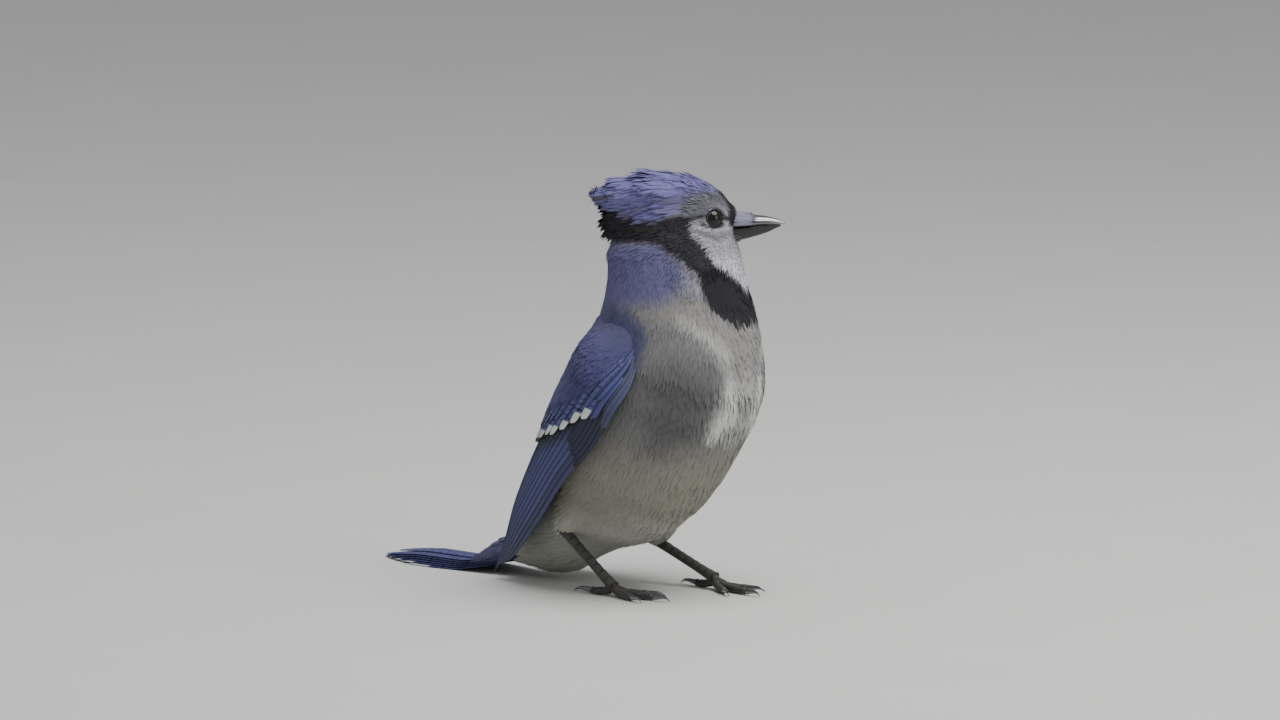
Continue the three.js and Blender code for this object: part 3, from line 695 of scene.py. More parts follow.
# Dark lines painted in the gaps between the crest's feathers at its back, where shade falls.
CREST_GAP_SHADOWS = [
    [(-29, 171, 0.4), (-22, 172, 0.2)],
    [(-30, 167.6, 0.6), (-20, 169.8, 0.4)],
    [(-21, 164.6, 0.6), (-14, 166, 0.3)],
    [(-11.5, 166.3, 0.4), (-5, 167.6, 0.2)],
]
PALE_FLECKS = [(11.7, 160, 0.8), (14, 158.6, 1), (18, 157.6, 0.9), (22, 156.6, 0.8), (28.5, 158, 1)]
LINES = [
    # marking, lines, strength, softness, and the height below which they stop
    # Painted shade in the breast's crease.
    ("breast_shade", [BREAST_CREASE_SHADE], 0.5, 1.6, 50),
    ("pale", [PALE_FLECKS], 1, 0.9, 150),
    ("white", [BREAST_FOLD], 0.42, 3, 50),
    ("white", [BELLY_LIGHT], 0.45, 5, 0),
    ("white", [COLLAR_FLECK], 0.8, 0.8, 50),
    ("black", LORAL_LINES, 0.95, 0.8, 145),
    # Painted shadow between the crest's feathers.
    ("black", CREST_GAP_SHADOWS, 0.75, 0.5, 160),
    ("ear", GREY_LINES, 0.6, 0.8, 145),
]


# %% Mix the markings
def markings(places, normals):
    """How much of each marking, and of the painted shade, shows at places on the bird, from 0 to 1."""
    points = seen(places)
    x, _, z = in_body(places)
    # The blue of the back lies behind a line down the flanks, where the surface looks back or up.
    spine = np.interp(z, (9, 21, 49, 86, 125, 155), (-72, -50, -28, -8, 5, 6))
    behind = eased(spine - x, 6, 24) * eased(z, 4, 12)
    behind = np.where(z > 140, 0, behind * eased(normals[:, 2] * 0.6 - normals[:, 0], -0.15, 0.35))
    made = {
        "pale": patch(points, FACE, 1.8) * (1 - 0.58 * eased(z, 143, 157)),
        "lilac": patch(points, NECK_SIDE, 5),
        # Painted shade over the breast's grey, strongest in its middle.
        "breast_shade": 0.8 * patch(points, SHADED_BREAST, 10),
        "light": patch(points, UPPER_BREAST, 5),
        "white": np.maximum(streak(points, BELLY_STREAK, 4), 0.35 * eased(z, 40, 22)) * (1 - behind),
        "warm": eased(z, 84, 50) * (1 - behind),
        "mantle": np.maximum(patch(points, HINDNECK, 5), behind * eased(z, 138, 130)),
        "wing": 0.85 * patch(points, SHOULDER, 3) * (1 - 0.6 * behind),
        "crown": patch(points, CROWN, 1.2),
        "brow": 0.9 * patch(points, BROW, 4) * (z > 155),
        "black": np.maximum(patch(points, BAND, 1.2), 0.8 * eased(gap_to_eyes(places), 5.5, 4.7)),
        "ear": 0.85 * patch(points, EAR, 2.2),
    }
    made["ear"] = np.maximum(made["ear"], 0.25 * patch(points, BAND, 2) * eased(np.abs(z - 148), 2, 10))
    for mask, lines, strength, soft, lowest in LINES:
        for line in lines:
            drawn = strength * streak(points, line, soft) * (z > lowest)
            made[mask] = np.maximum(made[mask], drawn)
    for mask in ("crown", "pale", "lilac"):
        made[mask] *= 1 - made["black"]
    return made


shown = form + lie * (0.55 * length * MM)[:, None]  # where a feather's visible half lies
write(skin.data, lie=lie, outward=normals, feather_mm=length, **markings(shown, normals))
print("markings:", [a.name for a in skin.data.attributes if a.data_type == "FLOAT"])

# %% [markdown]
# ## Where feathers grow
#
# No body feathers grow under a folded wing, where they would push through the wing's own feathers, nor
# in the eye or under the bill's horn. A ray from each point of the skin finds what lies over it.

# %% Find what the wings cover
HORN_GAP = 0.0012  # these are in metres, like the frame
WING_GAP = 0.012
HEAD_HEIGHT, SHOULDER_HEIGHT = 0.15, 0.105
LID_EDGE = 4.6


def tree_of(nodes):
    places, faces = [], []
    for node in nodes:
        mesh = NODES[node].data
        start = len(places)
        places += [v.co.copy() for v in mesh.vertices]
        faces += [[start + i for i in face.vertices] for face in mesh.polygons]
    return BVHTree.FromPolygons(places, faces)


wings_over = tree_of(["wing_right", "wing_left"])
horn_over = tree_of(["bill_upper", "bill_lower"])
bare = np.zeros(len(form))
for i, (place, normal) in enumerate(zip(form, normals)):
    place, normal = Vector(place), Vector(normal)
    if place.z > HEAD_HEIGHT:
        hit = horn_over.find_nearest(place, HORN_GAP)
    else:
        hit = wings_over.ray_cast(place - normal * 0.002, normal, WING_GAP)
    bare[i] = hit[0] is not None
ends = np.array([edge.vertices[:] for edge in skin.data.edges])
for turn in range(9):  # feathers grow in under the wings' edges too, furthest at the shoulders
    inner = bare.copy()
    np.minimum.at(inner, ends[:, 0], bare[ends[:, 1]])
    np.minimum.at(inner, ends[:, 1], bare[ends[:, 0]])
    low = 0 if turn < 3 else SHOULDER_HEIGHT
    bare = np.where((form[:, 2] > low) & (form[:, 2] < HEAD_HEIGHT), inner, bare)
bare = np.maximum(bare, eye_gap < LID_EDGE)
print("bare share:", round(bare.mean(), 2))

# %% [markdown]
# ## Tufts
#
# A contour feather shows only its loose tip, a tuft of barbs that tapers to a point. Three slim closed
# shapes, a unit long and a unit wide, stand for it: straight, bent to the left and bent to the right. Each
# has few faces, because tens of thousands of them will cover the bird. They hang in a collection outside
# the scene, from which Geometry Nodes pick.

# %% Shape the tufts
def tuft_shape(name, rows, bend, rise, fall, thick):
    places, faces, ways, flat = [(0, 0, -0.02)], [], [0.0], [(0.5, 0.0)]
    for y, width in rows:
        x, z = bend * y * y, rise * y - fall * y * y
        places += [(x - width / 2, y, z), (x + width / 2, y, z), (x, y, z + thick)]
        ways += [y] * 3
        flat += [(0.5 - width / 2, y), (0.5 + width / 2, y), (0.5, y)]
    places.append((bend, 1, rise - fall))
    ways.append(1.0)
    flat.append((0.5, 1.0))
    faces += [(0, 2, 1), (0, 3, 2), (0, 1, 3)]
    for i in range(len(rows) - 1):
        a, b = 1 + 3 * i, 4 + 3 * i
        faces += [(a, a + 1, b + 1, b), (a + 1, a + 2, b + 2, b + 1), (a + 2, a, b, b + 2)]
    a, tip = 3 * len(rows) - 2, 3 * len(rows) + 1
    faces += [(a, a + 1, tip), (a + 1, a + 2, tip), (a + 2, a, tip)]
    mesh = bpy.data.meshes.new(name)
    mesh.from_pydata(places, [], faces)
    mesh.shade_smooth()
    write(mesh, along=ways)
    lay_map(mesh, "TuftUV", flat)
    return bpy.data.objects.new(name, mesh)


def tuft_collection(name, rows, rise, fall, thick, bends=(0, -0.1, 0.1)):
    collection = bpy.data.collections.new(name)
    for i, bend in enumerate(bends):
        collection.objects.link(turned_out(tuft_shape(f"{name}_{i}", rows, bend, rise, fall, thick)))
    return collection


soft_tufts = tuft_collection("soft_tuft", [(0.3, 0.85), (0.7, 1.0)], 0.06, 0.07, 0.009)
crest_tufts = tuft_collection("crest_tuft", [(0.2, 0.8), (0.5, 1.0), (0.8, 0.7)], 0.05, 0.07, 0.01)

# %% [markdown]
# ## The coat tree
#
# Geometry Nodes cover a surface in tufts. Points are strewn over the chosen faces with an even spacing,
# each is turned so that the tuft stands on the surface's normal and lies along the comb's direction, and
# a fixed seed varies its lift, slant, size and tone. Each tuft gets its own small patch of the map named
# OFBake, at its root's place on the skin's own unwrap.

# %% Build the coat tree
BAKE_PATCH = 0.003
DENSEST = 4e6  # candidates to the square metre, of which the even spacing keeps a part
COAT_INPUTS = {"Where": "String", "Spacing": "Float", "Width": "Float", "Lift": "Float", "Seed": "Int"}


def new_tree(name, inputs):
    tree = bpy.data.node_groups.new(name, "GeometryNodeTree")
    tree.interface.new_socket("Geometry", in_out="INPUT", socket_type="NodeSocketGeometry")
    for label, kind in inputs.items():
        tree.interface.new_socket(label, in_out="INPUT", socket_type=f"NodeSocket{kind}")
    tree.interface.new_socket("Geometry", in_out="OUTPUT", socket_type="NodeSocketGeometry")
    return tree, add(tree, "NodeGroupInput").outputs


def named(tree, name, kind="FLOAT"):
    return add(tree, "GeometryNodeInputNamedAttribute", {"Name": name}, data_type=kind).outputs[0]


def draw(tree, low, high, seed):
    links = {2: low, 3: high, 8: seed}
    return add(tree, "FunctionNodeRandomValue", links, data_type="FLOAT").outputs[1]


def triple(tree, *parts):
    return add(tree, "ShaderNodeCombineXYZ", dict(enumerate(parts))).outputs[0]


def stored(tree, geometry, name, value, **settings):
    links = {"Geometry": geometry, "Name": name, "Value": value}
    return add(tree, "GeometryNodeStoreNamedAttribute", links, **settings).outputs[0]


def tilted_tufts(tree, given, outward):
    """The rotation of each tuft: upright on the surface, laid by the comb, lifted and slanted a little."""
    upright = add(tree, "FunctionNodeAlignRotationToVector", {"Vector": outward}, axis="Z").outputs[0]
    links = {"Rotation": upright, "Vector": named(tree, "lie", "FLOAT_VECTOR")}
    laid = add(tree, "FunctionNodeAlignRotationToVector", links, axis="Y", pivot_axis="Z").outputs[0]
    lift = reckon(tree, "MULTIPLY", given["Lift"], draw(tree, 0.3, 1.7, 2))
    angles = triple(tree, lift, draw(tree, -0.12, 0.12, 3), draw(tree, -0.1, 0.1, 4))
    tilt = add(tree, "FunctionNodeEulerToRotation", {0: angles}).outputs[0]
    return add(tree, "FunctionNodeRotateRotation", {0: laid, 1: tilt}, rotation_space="LOCAL").outputs[0]


def tuft_size(tree, given):
    size = reckon(tree, "MULTIPLY", named(tree, "feather_mm"), MM)
    size = reckon(tree, "MULTIPLY", size, draw(tree, 0.8, 1.2, 5))
    width = reckon(tree, "MULTIPLY", given["Width"], draw(tree, 0.75, 1.3, 6))
    return triple(tree, width, size, size)


def bake_spot(tree):
    """A tuft's own small map, put at its root's place on the skin's map."""
    links = {0: named(tree, "TuftUV", "FLOAT_VECTOR"), 3: BAKE_PATCH}
    flat = add(tree, "ShaderNodeVectorMath", links, operation="SCALE").outputs[0]
    links = {0: named(tree, "SkinUV", "FLOAT_VECTOR"), 1: flat}
    return add(tree, "ShaderNodeVectorMath", links, operation="ADD").outputs[0]


def coat_tree(name, tufts):
    tree, given = new_tree(name, COAT_INPUTS)
    links = {"Mesh": given["Geometry"], "Distance Min": given["Spacing"], "Density Max": DENSEST}
    links |= {"Density Factor": named(tree, given["Where"]), "Seed": given["Seed"]}
    strewn = add(tree, "GeometryNodeDistributePointsOnFaces", links, distribute_method="POISSON").outputs
    toned = stored(tree, strewn["Points"], "tone", draw(tree, 0.0, 1.0, 1), data_type="FLOAT")
    links = {"Collection": tufts, "Separate Children": True, "Reset Children": True}
    shapes = add(tree, "GeometryNodeCollectionInfo", links).outputs[0]
    pick = add(tree, "FunctionNodeRandomValue", {4: 0, 5: 2, 8: 7}, data_type="INT").outputs[2]
    links = {"Points": toned, "Instance": shapes, "Pick Instance": True, "Instance Index": pick}
    links |= {"Rotation": tilted_tufts(tree, given, strewn["Normal"]), "Scale": tuft_size(tree, given)}
    grown = add(tree, "GeometryNodeInstanceOnPoints", links).outputs[0]
    real = add(tree, "GeometryNodeRealizeInstances", {"Geometry": grown}).outputs[0]
    mapped = stored(tree, real, "OFBake", bake_spot(tree), data_type="FLOAT2", domain="CORNER")
    painted = add(tree, "GeometryNodeSetMaterial", {"Geometry": mapped, "Material": loose_barbs}).outputs[0]
    add(tree, "NodeGroupOutput", {"Geometry": painted})
    return tree


# %% Grow a coat
def softened(piece, share):
    """Shade tufts mostly like the surface below them, since light passes through loose barbs."""
    outward = np.empty(len(piece.data.vertices) * 3, np.float32)
    piece.data.attributes["outward"].data.foreach_get("vector", outward)
    mixed = outward.reshape(-1, 3) * share + normals_of(piece.data) * (1 - share)
    piece.data.normals_split_custom_set_from_vertices(unit(mixed))


def grow_coat(name, surface, tree, where, spacing, width, lift, seed, soft=0.8):
    """Tufts on a surface, spaced and wide in millimetres and lifted by degrees."""
    piece = placed(name, surface.data.copy())
    modifier = piece.modifiers.new("coat", "NODES")
    modifier.node_group = tree
    values = {"Where": where, "Spacing": spacing * MM, "Width": width * MM, "Lift": math.radians(lift)}
    values["Seed"] = seed
    for socket in tree.interface.items_tree:
        if socket.in_out == "INPUT" and socket.name in values:
            modifier[socket.identifier] = values[socket.name]
    applied(piece)
    for spare in ("TuftUV", "SkinUV"):
        if layer := piece.data.uv_layers.get(spare):
            piece.data.uv_layers.remove(layer)
    softened(piece, soft)
    return piece


soft_coat = coat_tree("soft_coat", soft_tufts)
crest_coat = coat_tree("crest_coat", crest_tufts)
print("coat inputs:", [s.name for s in soft_coat.interface.items_tree if s.in_out == "INPUT"])

# %% [markdown]
# ## Unwrapping the skin
#
# The tufts' map needs an unwrap of the skin, so Blender's smart projection lays its regions side by side.

# %% Unwrap the skin
def unwrapped(piece, name):
    piece.data.uv_layers.new(name=name)
    bpy.context.view_layer.objects.active = piece
    piece.select_set(True)
    bpy.ops.object.mode_set(mode="EDIT")
    bpy.ops.mesh.select_all(action="SELECT")
    bpy.ops.uv.smart_project(angle_limit=math.radians(66), island_margin=0.004)
    bpy.ops.object.mode_set(mode="OBJECT")
    piece.select_set(False)


unwrapped(skin, "SkinUV")
print("skin map:", len(skin.data.uv_layers["SkinUV"].data), "corners")

# %% [markdown]
# ## Growing the body's coat
#
# Each region gets its own coat, because feathers are tiny and close on the face and long on the belly. The
# regions follow the feathers' length and the place on the body. The skin's blunt end lies inside the base
# of the tail, so it stays bare.

# %% Grow the coats
SKIN_END = -78
BELLY_TOP, VENT_TOP = 84, 45

x, _, z = in_body(form)
crest_share = eased(length, 4.4, 6.5) * (z > 160) * (1 - patch(seen(form), BAND, 1.0))
open_skin = (1 - bare) * ((normals[:, 0] > -0.8) | (x > SKIN_END))
size = np.digitize(length, (3.1, 5.2, 7))  # 0 for the shortest feathers, to 3 for the longest
flat_lying = crest_share < 0.3
REGIONS = {
    # name: (where, spacing, width, lift, seed)
    "face": (flat_lying & (size == 0), 0.44, 0.5, 6, 1),
    "throat": (flat_lying & (size == 1), 0.6, 0.75, 4.5, 2),
    "neck": (flat_lying & (size == 2), 0.75, 1.0, 2.5, 3),
    "breast": (flat_lying & (size == 3) & (z > BELLY_TOP), 0.82, 1.2, 1.8, 4),
    "belly": ((size == 3) & (z <= BELLY_TOP) & (z > VENT_TOP), 0.88, 1.3, 1.8, 5),
    "vent": ((size >= 2) & (z <= VENT_TOP), 0.88, 1.3, 2.2, 6),
}
for name, (where, spacing, width, lift, seed) in REGIONS.items():
    write(skin.data, **{f"{name}_here": where * open_skin})
    soft = 0.55 if name in ("face", "throat") else 0.86
    coat = grow_coat(f"coat_{name}", skin, soft_coat, f"{name}_here", spacing, width, lift, seed, soft)
    hand_over(coat, "pale_feather", loose_barbs)
write(skin.data, crest_here=crest_share * open_skin)
crest = grow_coat("coat_crest", skin, crest_coat, "crest_here", 0.85, 1.4, 1.6, 7, 0.6)
hand_over(crest, "blue_feather", loose_barbs, "crest")
# The skin reads no along value, so it takes the darkest painted root shade under the coat.
hand_over(skin, "pale_feather", loose_barbs, "torso", "neck", "head")

# %% [markdown]
# ## The wings' sheets
#
# A folded wing's feathers lie on a curved sheet beside the body, from the shoulder to the wing's tip. Its
# lower edge, middle and upper edge are three curves, and the sheet between them is pushed out wherever it
# would sink into the flank. Its front end is tucked in, because the breast's feathers cover the bend of a
# folded wing. Feathers are then placed by three numbers: how far towards the tip, how far from the lower
# edge to the upper one, and how high above the sheet.

# %% Lay out the wings' sheets
WING_LOWER = [
    (24, -34, 118), (13, -41, 92), (-1, -40, 71.5), (-22, -37, 50.5), (-45, -29, 28.5), (-63, -23.5, 11.5),
    (-80, -19.5, 1.4),
]
WING_MIDDLE = [
    (8, -38, 131), (-6, -38, 106), (-24, -37, 80), (-43, -31, 58), (-59, -24.5, 38), (-69.5, -21, 20),
    (-80.6, -19, 2.2),
]
WING_UPPER = [
    (-14, -19, 134), (-30, -14, 106), (-42, -10, 82), (-55, -7, 62), (-64, -8, 44), (-73, -14, 23),
    (-81.2, -18.3, 3),
]
SHEET_CELLS = (96, 50)
SHEET_RISES = (-0.1, 1.15)  # how far the sheet goes below its lower edge and above its upper one
EDGE_TO_EDGE = slice(4, 45)  # the points across the sheet that lie between those two edges
PROBE = 30  # how far outside the sheet a ray starts, to find the flank
flank = tree_of(["torso", "neck"])


def smoothed(grid, rounds):
    for _ in range(rounds):
        grid = np.pad(grid, 1, mode="edge")
        grid = (grid[:-2, 1:-1] + grid[2:, 1:-1] + grid[1:-1, :-2] + grid[1:-1, 2:]) / 4
    return grid


def outward_of(grid, side):
    outward = np.cross(np.gradient(grid, axis=1), np.gradient(grid, axis=0)) * -side
    return unit(outward)


def wing_sheet(side):
    s = np.linspace(0, 1, SHEET_CELLS[0] + 1)[:, None]
    t = np.linspace(*SHEET_RISES, SHEET_CELLS[1] + 1)[None, :, None]
    low, middle, high = (along(edge, s) for edge in (WING_LOWER, WING_MIDDLE, WING_UPPER))
    grid = low * (1 - t) * (1 - 2 * t) + middle * 4 * t * (1 - t) + high * t * (2 * t - 1)
    grid[..., 1] *= -side
    grid = BODY_ZERO + grid * MM
    outward = outward_of(grid, side)
    # The least and the most that the sheet may stand off the flank, both below zero at the shoulder.
    least = -3.2 + 3.6 * eased(s[:, 0], 0, 0.42)
    most = -6 + 20 * eased(s[:, 0], 0, 0.36)
    push = np.zeros(grid.shape[:2])
    for i, j in np.ndindex(push.shape):
        place, way = Vector(grid[i, j]), Vector(outward[i, j])
        hit = flank.ray_cast(place + way * (PROBE * MM), -way, 2 * PROBE * MM)
        stands = PROBE if hit[0] is None else hit[3] / MM - PROBE
        short = least[i] - stands
        push[i, j] = (short + 3) ** 2 / 12 if abs(short) < 3 else max(short, 0)
        if stands > 0:
            push[i, j] -= max(0, flank.find_nearest(place)[3] / MM - most[i])
    grid = grid + outward * smoothed(push, 6)[..., None] * MM
    return grid, outward_of(grid, side)


def on_wing(sheet, s, t, height):
    grid, outward = sheet
    row = np.clip(s, 0, 1) * SHEET_CELLS[0]
    below, above = SHEET_RISES
    column = (np.clip(t, below, above) - below) / (above - below) * SHEET_CELLS[1]
    i = np.minimum(row.astype(int), SHEET_CELLS[0] - 1)
    j = np.minimum(column.astype(int), SHEET_CELLS[1] - 1)
    a, b = (row - i)[..., None], (column - j)[..., None]
    place, way = (
        (f[i, j] * (1 - b) + f[i, j + 1] * b) * (1 - a)
        + (f[i + 1, j] * (1 - b) + f[i + 1, j + 1] * b) * a
        for f in (grid, outward)
    )
    return place + way * np.asarray(height)[..., None] * MM


SHEETS = {"right": wing_sheet(-1), "left": wing_sheet(1)}
steps_across = np.diff(SHEETS["right"][0][:, EDGE_TO_EDGE], axis=1)
WING_WIDTHS = np.linalg.norm(steps_across, axis=2).sum(1) / MM
print("wing widths:", np.round(WING_WIDTHS[::24], 1), "mm")

# %% [markdown]
# ## Vanes
#
# A flight feather is one stiff vane on each side of its shaft, made of barbs that hook together. It is
# modelled as a thin closed sheet with sharp edges, a little arched across. Numbers written on its points
# tell the material how far each is along the feather, how far from its tip and how far from its shaft.

# %% Build vanes
FLIGHT_OUTLINE = ((0, 0.3, 0.65, 0.86, 0.95, 0.985, 1), (0.7, 0.92, 1, 0.86, 0.6, 0.36, 0.06))
COVERT_OUTLINE = ((0, 0.4, 0.8, 0.93, 0.98, 1), (0.6, 1, 1, 0.88, 0.56, 0.2))
TAIL_OUTLINE = ((0, 0.12, 0.4, 0.8, 0.94, 0.985, 1), (0.55, 0.7, 0.92, 1, 0.86, 0.5, 0.1))
LONG_CELLS, SHORT_CELLS = (30, 8), (16, 8)  # along and across a long feather and a covert


def vane_grid(cells):
    """Shares of the way to a feather's tip, closest together there, and places across, from -1 to 1."""
    rows, columns = cells
    return np.meshgrid(np.linspace(0, 1, rows + 1) ** 0.8, np.linspace(-1, 1, columns + 1), indexing="ij")


def vane(outline, at, cells, thick, **numbers):
    """One feather, placed by at(u, v, height), where u and v are those of its grid."""
    rows, columns = cells
    u, v = vane_grid(cells)
    across = v * np.interp(u, *outline)
    arch = 1.3 * thick * (1 - v**2)
    top, under = at(u, across, arch), at(u, across, arch * 0.2 - thick * (1 - v**2))
    middle = top[:, columns // 2]
    run = np.append(0, np.cumsum(np.linalg.norm(np.diff(middle, axis=0), axis=1))) / MM
    off = np.linalg.norm(top - middle[:, None], axis=2) / MM * np.sign(v)
    numbers |= {"run_mm": run[:, None], "rest_mm": run[-1] - run[:, None], "off_mm": off}
    marks = {name: value + 0 * u for name, value in numbers.items()}
    number = np.arange(u.size).reshape(u.shape)
    below = number.copy()
    inner = np.s_[1:-1, 1:-1]
    below[inner] = u.size + np.arange(below[inner].size).reshape(below[inner].shape)
    faces = []
    for i in range(rows):
        for j in range(columns):
            faces.append((number[i, j], number[i, j + 1], number[i + 1, j + 1], number[i + 1, j]))
            faces.append((below[i, j], below[i + 1, j], below[i + 1, j + 1], below[i, j + 1]))
    places = np.vstack([top.reshape(-1, 3), under[inner].reshape(-1, 3)])
    flat = np.stack([(v + 1) / 2, u], 2)
    flat = np.vstack([flat.reshape(-1, 2), flat[inner].reshape(-1, 2)])
    marks = {name: np.append(m.ravel(), m[inner].ravel()) for name, m in marks.items()}
    return places, faces, marks, flat


# %% Join vanes
def feathered(name, vanes):
    """Vanes joined as one piece, each with its own strip of the map OFBake."""
    places, faces, flats, start = [], [], [], 0
    for i, (spots, sheets, _, flat) in enumerate(vanes):
        places.append(spots)
        faces += [[int(start + corner) for corner in face] for face in sheets]
        flats.append(np.stack([(i + 0.08 + 0.84 * flat[:, 0]) / len(vanes), 0.01 + 0.98 * flat[:, 1]], 1))
        start += len(spots)
    piece = mesh_piece(name, np.vstack(places), faces)
    write(piece.data, **{mark: np.concatenate([v[2][mark] for v in vanes]) for mark in vanes[0][2]})
    lay_map(piece.data, "OFBake", np.vstack(flats))
    return piece


# %% [markdown]
# ## The vanes' colours
#
# A jay's blue isn't a pigment but the scattering of light in the barbs, over dark pigment below. Black
# bars cross the blue at a steady step, the inner half of a flight feather is plain dark, and the coverts
# and the inner flight feathers end in white. Fine lines run along the barbs, which slant to the tip.

# %% The vane material
BAR_STEP = 3.1


def vane_material():
    material, tree = new_material("hooked_feather_barbs")
    run, rest, off = (reading(tree, name) for name in ("run_mm", "rest_mm", "off_mm"))
    out = reckon(tree, "ABSOLUTE", off)
    barb = reckon(tree, "MULTIPLY_ADD", out, -1.3, run)
    fine = {"W": barb, "Scale": 2.6, "Detail": 2.0}
    lines = add(tree, "ShaderNodeTexNoise", fine, noise_dimensions="1D").outputs[0]
    drift = add(tree, "ShaderNodeTexNoise", {"W": run, "Scale": 0.12}, noise_dimensions="1D").outputs[0]
    # Bars at a steady step, which drift a little and are broken here and there.
    phase = reckon(tree, "MULTIPLY_ADD", out, 0.4, run)
    phase = reckon(tree, "MULTIPLY_ADD", drift, 3.0, phase)
    phase = reckon(tree, "MULTIPLY_ADD", reading(tree, "tone"), 6.0, phase)
    wave = reckon(tree, "SINE", reckon(tree, "MULTIPLY", phase, 2 * math.pi / BAR_STEP))
    bar = reckon(tree, "MULTIPLY", ramp(tree, wave, 0.4, 0.75), reading(tree, "bars"))
    bar = reckon(tree, "MULTIPLY", bar, ramp(tree, mottled(tree, 0.25, 1.0), 0.36, 0.54))
    # Blue over the dark of the inner half and of the painted shade past the coverts' tips, then the bars, the
    # shaft, the worn edge and the white tip.
    shade = blend(tree, reading(tree, "tone"), colour("#3c3f6e"), colour("#585f98"))
    shade = blend(tree, reading(tree, "blue"), colour("#25252f"), shade)
    shade = blend(tree, bar, shade, colour("#14141b"))
    shaft = ramp(tree, out, 0.42, 0.2)
    shade = blend(tree, shaft, shade, colour("#191a22"))
    shade = blend(tree, reading(tree, "worn"), shade, colour("#505666"))
    curve = reckon(tree, "MULTIPLY_ADD", off, 0.3, rest)
    tip = reckon(tree, "SUBTRACT", reading(tree, "white_mm"), curve)
    shade = blend(tree, ramp(tree, tip, -0.3, 0.3), shade, colour("#d8dcdc"))
    shade = dimmed(tree, shade, reckon(tree, "MULTIPLY_ADD", lines, 0.5, 0.75))
    rough = reckon(tree, "MULTIPLY_ADD", lines, 0.2, 0.5)
    relief = bumped(tree, reckon(tree, "ADD", lines, shaft), 0.35, 0.15)
    finish_material(tree, shade, rough, {"Specular IOR Level": 0.35, "Normal": relief})
    return material


hooked_barbs = vane_material()
print("vane material:", len(hooked_barbs.node_tree.nodes), "nodes")

# %% [markdown]
# ## Flight feathers and coverts
#
# The flight feathers lie like shingles, each over the inner half of the one below it, so a vane slopes from
# its own lower edge down under the next one. The nine lowest are the primaries, with a narrow blue outer
# edge. Above them come the secondaries and the three broad tertials, barred and tipped with white. The
# greater coverts lie over their bases and end in the white bar of the wing, and small dark coverts with the
# three stiff feathers of the thumb lie along the lower edge.

# %% Feather the wings
FLIGHT_TIPS = [0.9, 0.95, 0.985, 1, 0.98, 0.95, 0.91, 0.88, 0.86, 0.84, 0.82, 0.8, 0.76, 0.69]
FLIGHT_FEATHERS = 18
PRIMARIES, TERTIALS = 9, 3
FLIGHT_TOP = 3.2
SHINGLE_STEP = 0.42
COVERTS, COVERT_SPACING = 14, 0.066
# Across the wing, from its lower edge to its upper one, where the greater coverts and the small feathers
# over them end.
COVERT_ENDS = ((0.08, 0.19, 0.33, 0.55, 0.78, 1.0), (0.265, 0.3, 0.375, 0.44, 0.5, 0.525))
SMALL_ENDS = ((0, 0.1, 0.2, 0.33, 0.55, 0.78, 1), (0.06, 0.07, 0.18, 0.265, 0.345, 0.405, 0.44))
DARK_COVERT = {"blue": 0.25, "bars": 0.0, "white_mm": 0.0, "tone": 0.1}
THUMB_FEATHER = {"blue": 0.75, "bars": 0.15, "white_mm": 0.0, "tone": 0.4, "worn": 0.4}
EDGE_ROWS = [
    # count, first place across and its step, width, root, tip and its step, height, colours
    (6, -0.01, 0.034, 0.06, 0.12, 0.43, 0.012, 0.55, DARK_COVERT),
    (3, -0.03, 0.035, 0.07, 0.05, 0.27, 0.03, 1.1, THUMB_FEATHER),
]


def flight_feather(sheet, k, chance):
    tip = np.interp(k / (FLIGHT_FEATHERS - 1), np.linspace(0, 1, len(FLIGHT_TIPS)), FLIGHT_TIPS)
    tip += chance.uniform(-0.004, 0.004)
    covered = np.interp(0.049 * k + 0.04, *COVERT_ENDS)
    root = covered - 0.1
    primary = k < PRIMARIES
    tertial = k >= FLIGHT_FEATHERS - TERTIALS

    def at(u, v, height):
        s = root + (tip - root) * u
        spacing = 0.049 + 0.047 * np.maximum(0, 2 * s - 1) ** 2
        width = np.interp(s, np.linspace(0, 1, len(WING_WIDTHS)), WING_WIDTHS)
        below = np.minimum(9.5 / width, 3.4 * spacing) * (v + 1) / 2
        level = FLIGHT_TOP * (1 - 0.5 * eased(s, 0.7, 1)) - SHINGLE_STEP * below / spacing
        return on_wing(sheet, s, spacing * k + below, level + height)

    u, v = vane_grid(LONG_CELLS)
    s = root + (tip - root) * u
    blue = 0.6 + 0.4 * eased(v, -0.5, -0.8) if not tertial else eased(v, 1.4, 0.4)
    blue = blue * (0.6 + 0.4 * eased(k, 1, 3) * eased(k, 13, 9))
    # Dark for a short way past the greater coverts' tips: painted shade under their edge.
    blue = blue * eased(s, covered - 0.01, covered + 0.08)
    marks = {
        "blue": blue,
        "bars": (0.0 if primary else 0.7) * blue,
        "white_mm": 0.0 if primary else (2.6 if tertial else 1.8),
        "tone": chance.uniform(0.3, 0.8),
        "worn": 0.1 + 0.6 * eased(s + 0.02 * (PRIMARIES - k), 0.68, 1.08),
    }
    return vane(FLIGHT_OUTLINE, at, LONG_CELLS, 0.2, **marks)


# %% Add the coverts
def covert(sheet, low, width, root, tip, top, chance, **marks):
    tip += chance.uniform(-0.005, 0.005)
    slant = chance.uniform(-0.004, 0.004)
    low_end = -1 if root < 0.15 else 2  # the height of its root: under the shoulder, or over the sheet

    def at(u, v, height):
        below = width * (v + 1) / 2
        level = low_end + (top - SHINGLE_STEP * below / COVERT_SPACING - low_end) * eased(u, 0, 0.4)
        return on_wing(sheet, root + (tip - root) * u, low + slant * u + below, level + height)

    marks.setdefault("tone", chance.uniform(0.3, 1))
    marks.setdefault("worn", 0)
    return vane(COVERT_OUTLINE, at, SHORT_CELLS, 0.2, **marks)


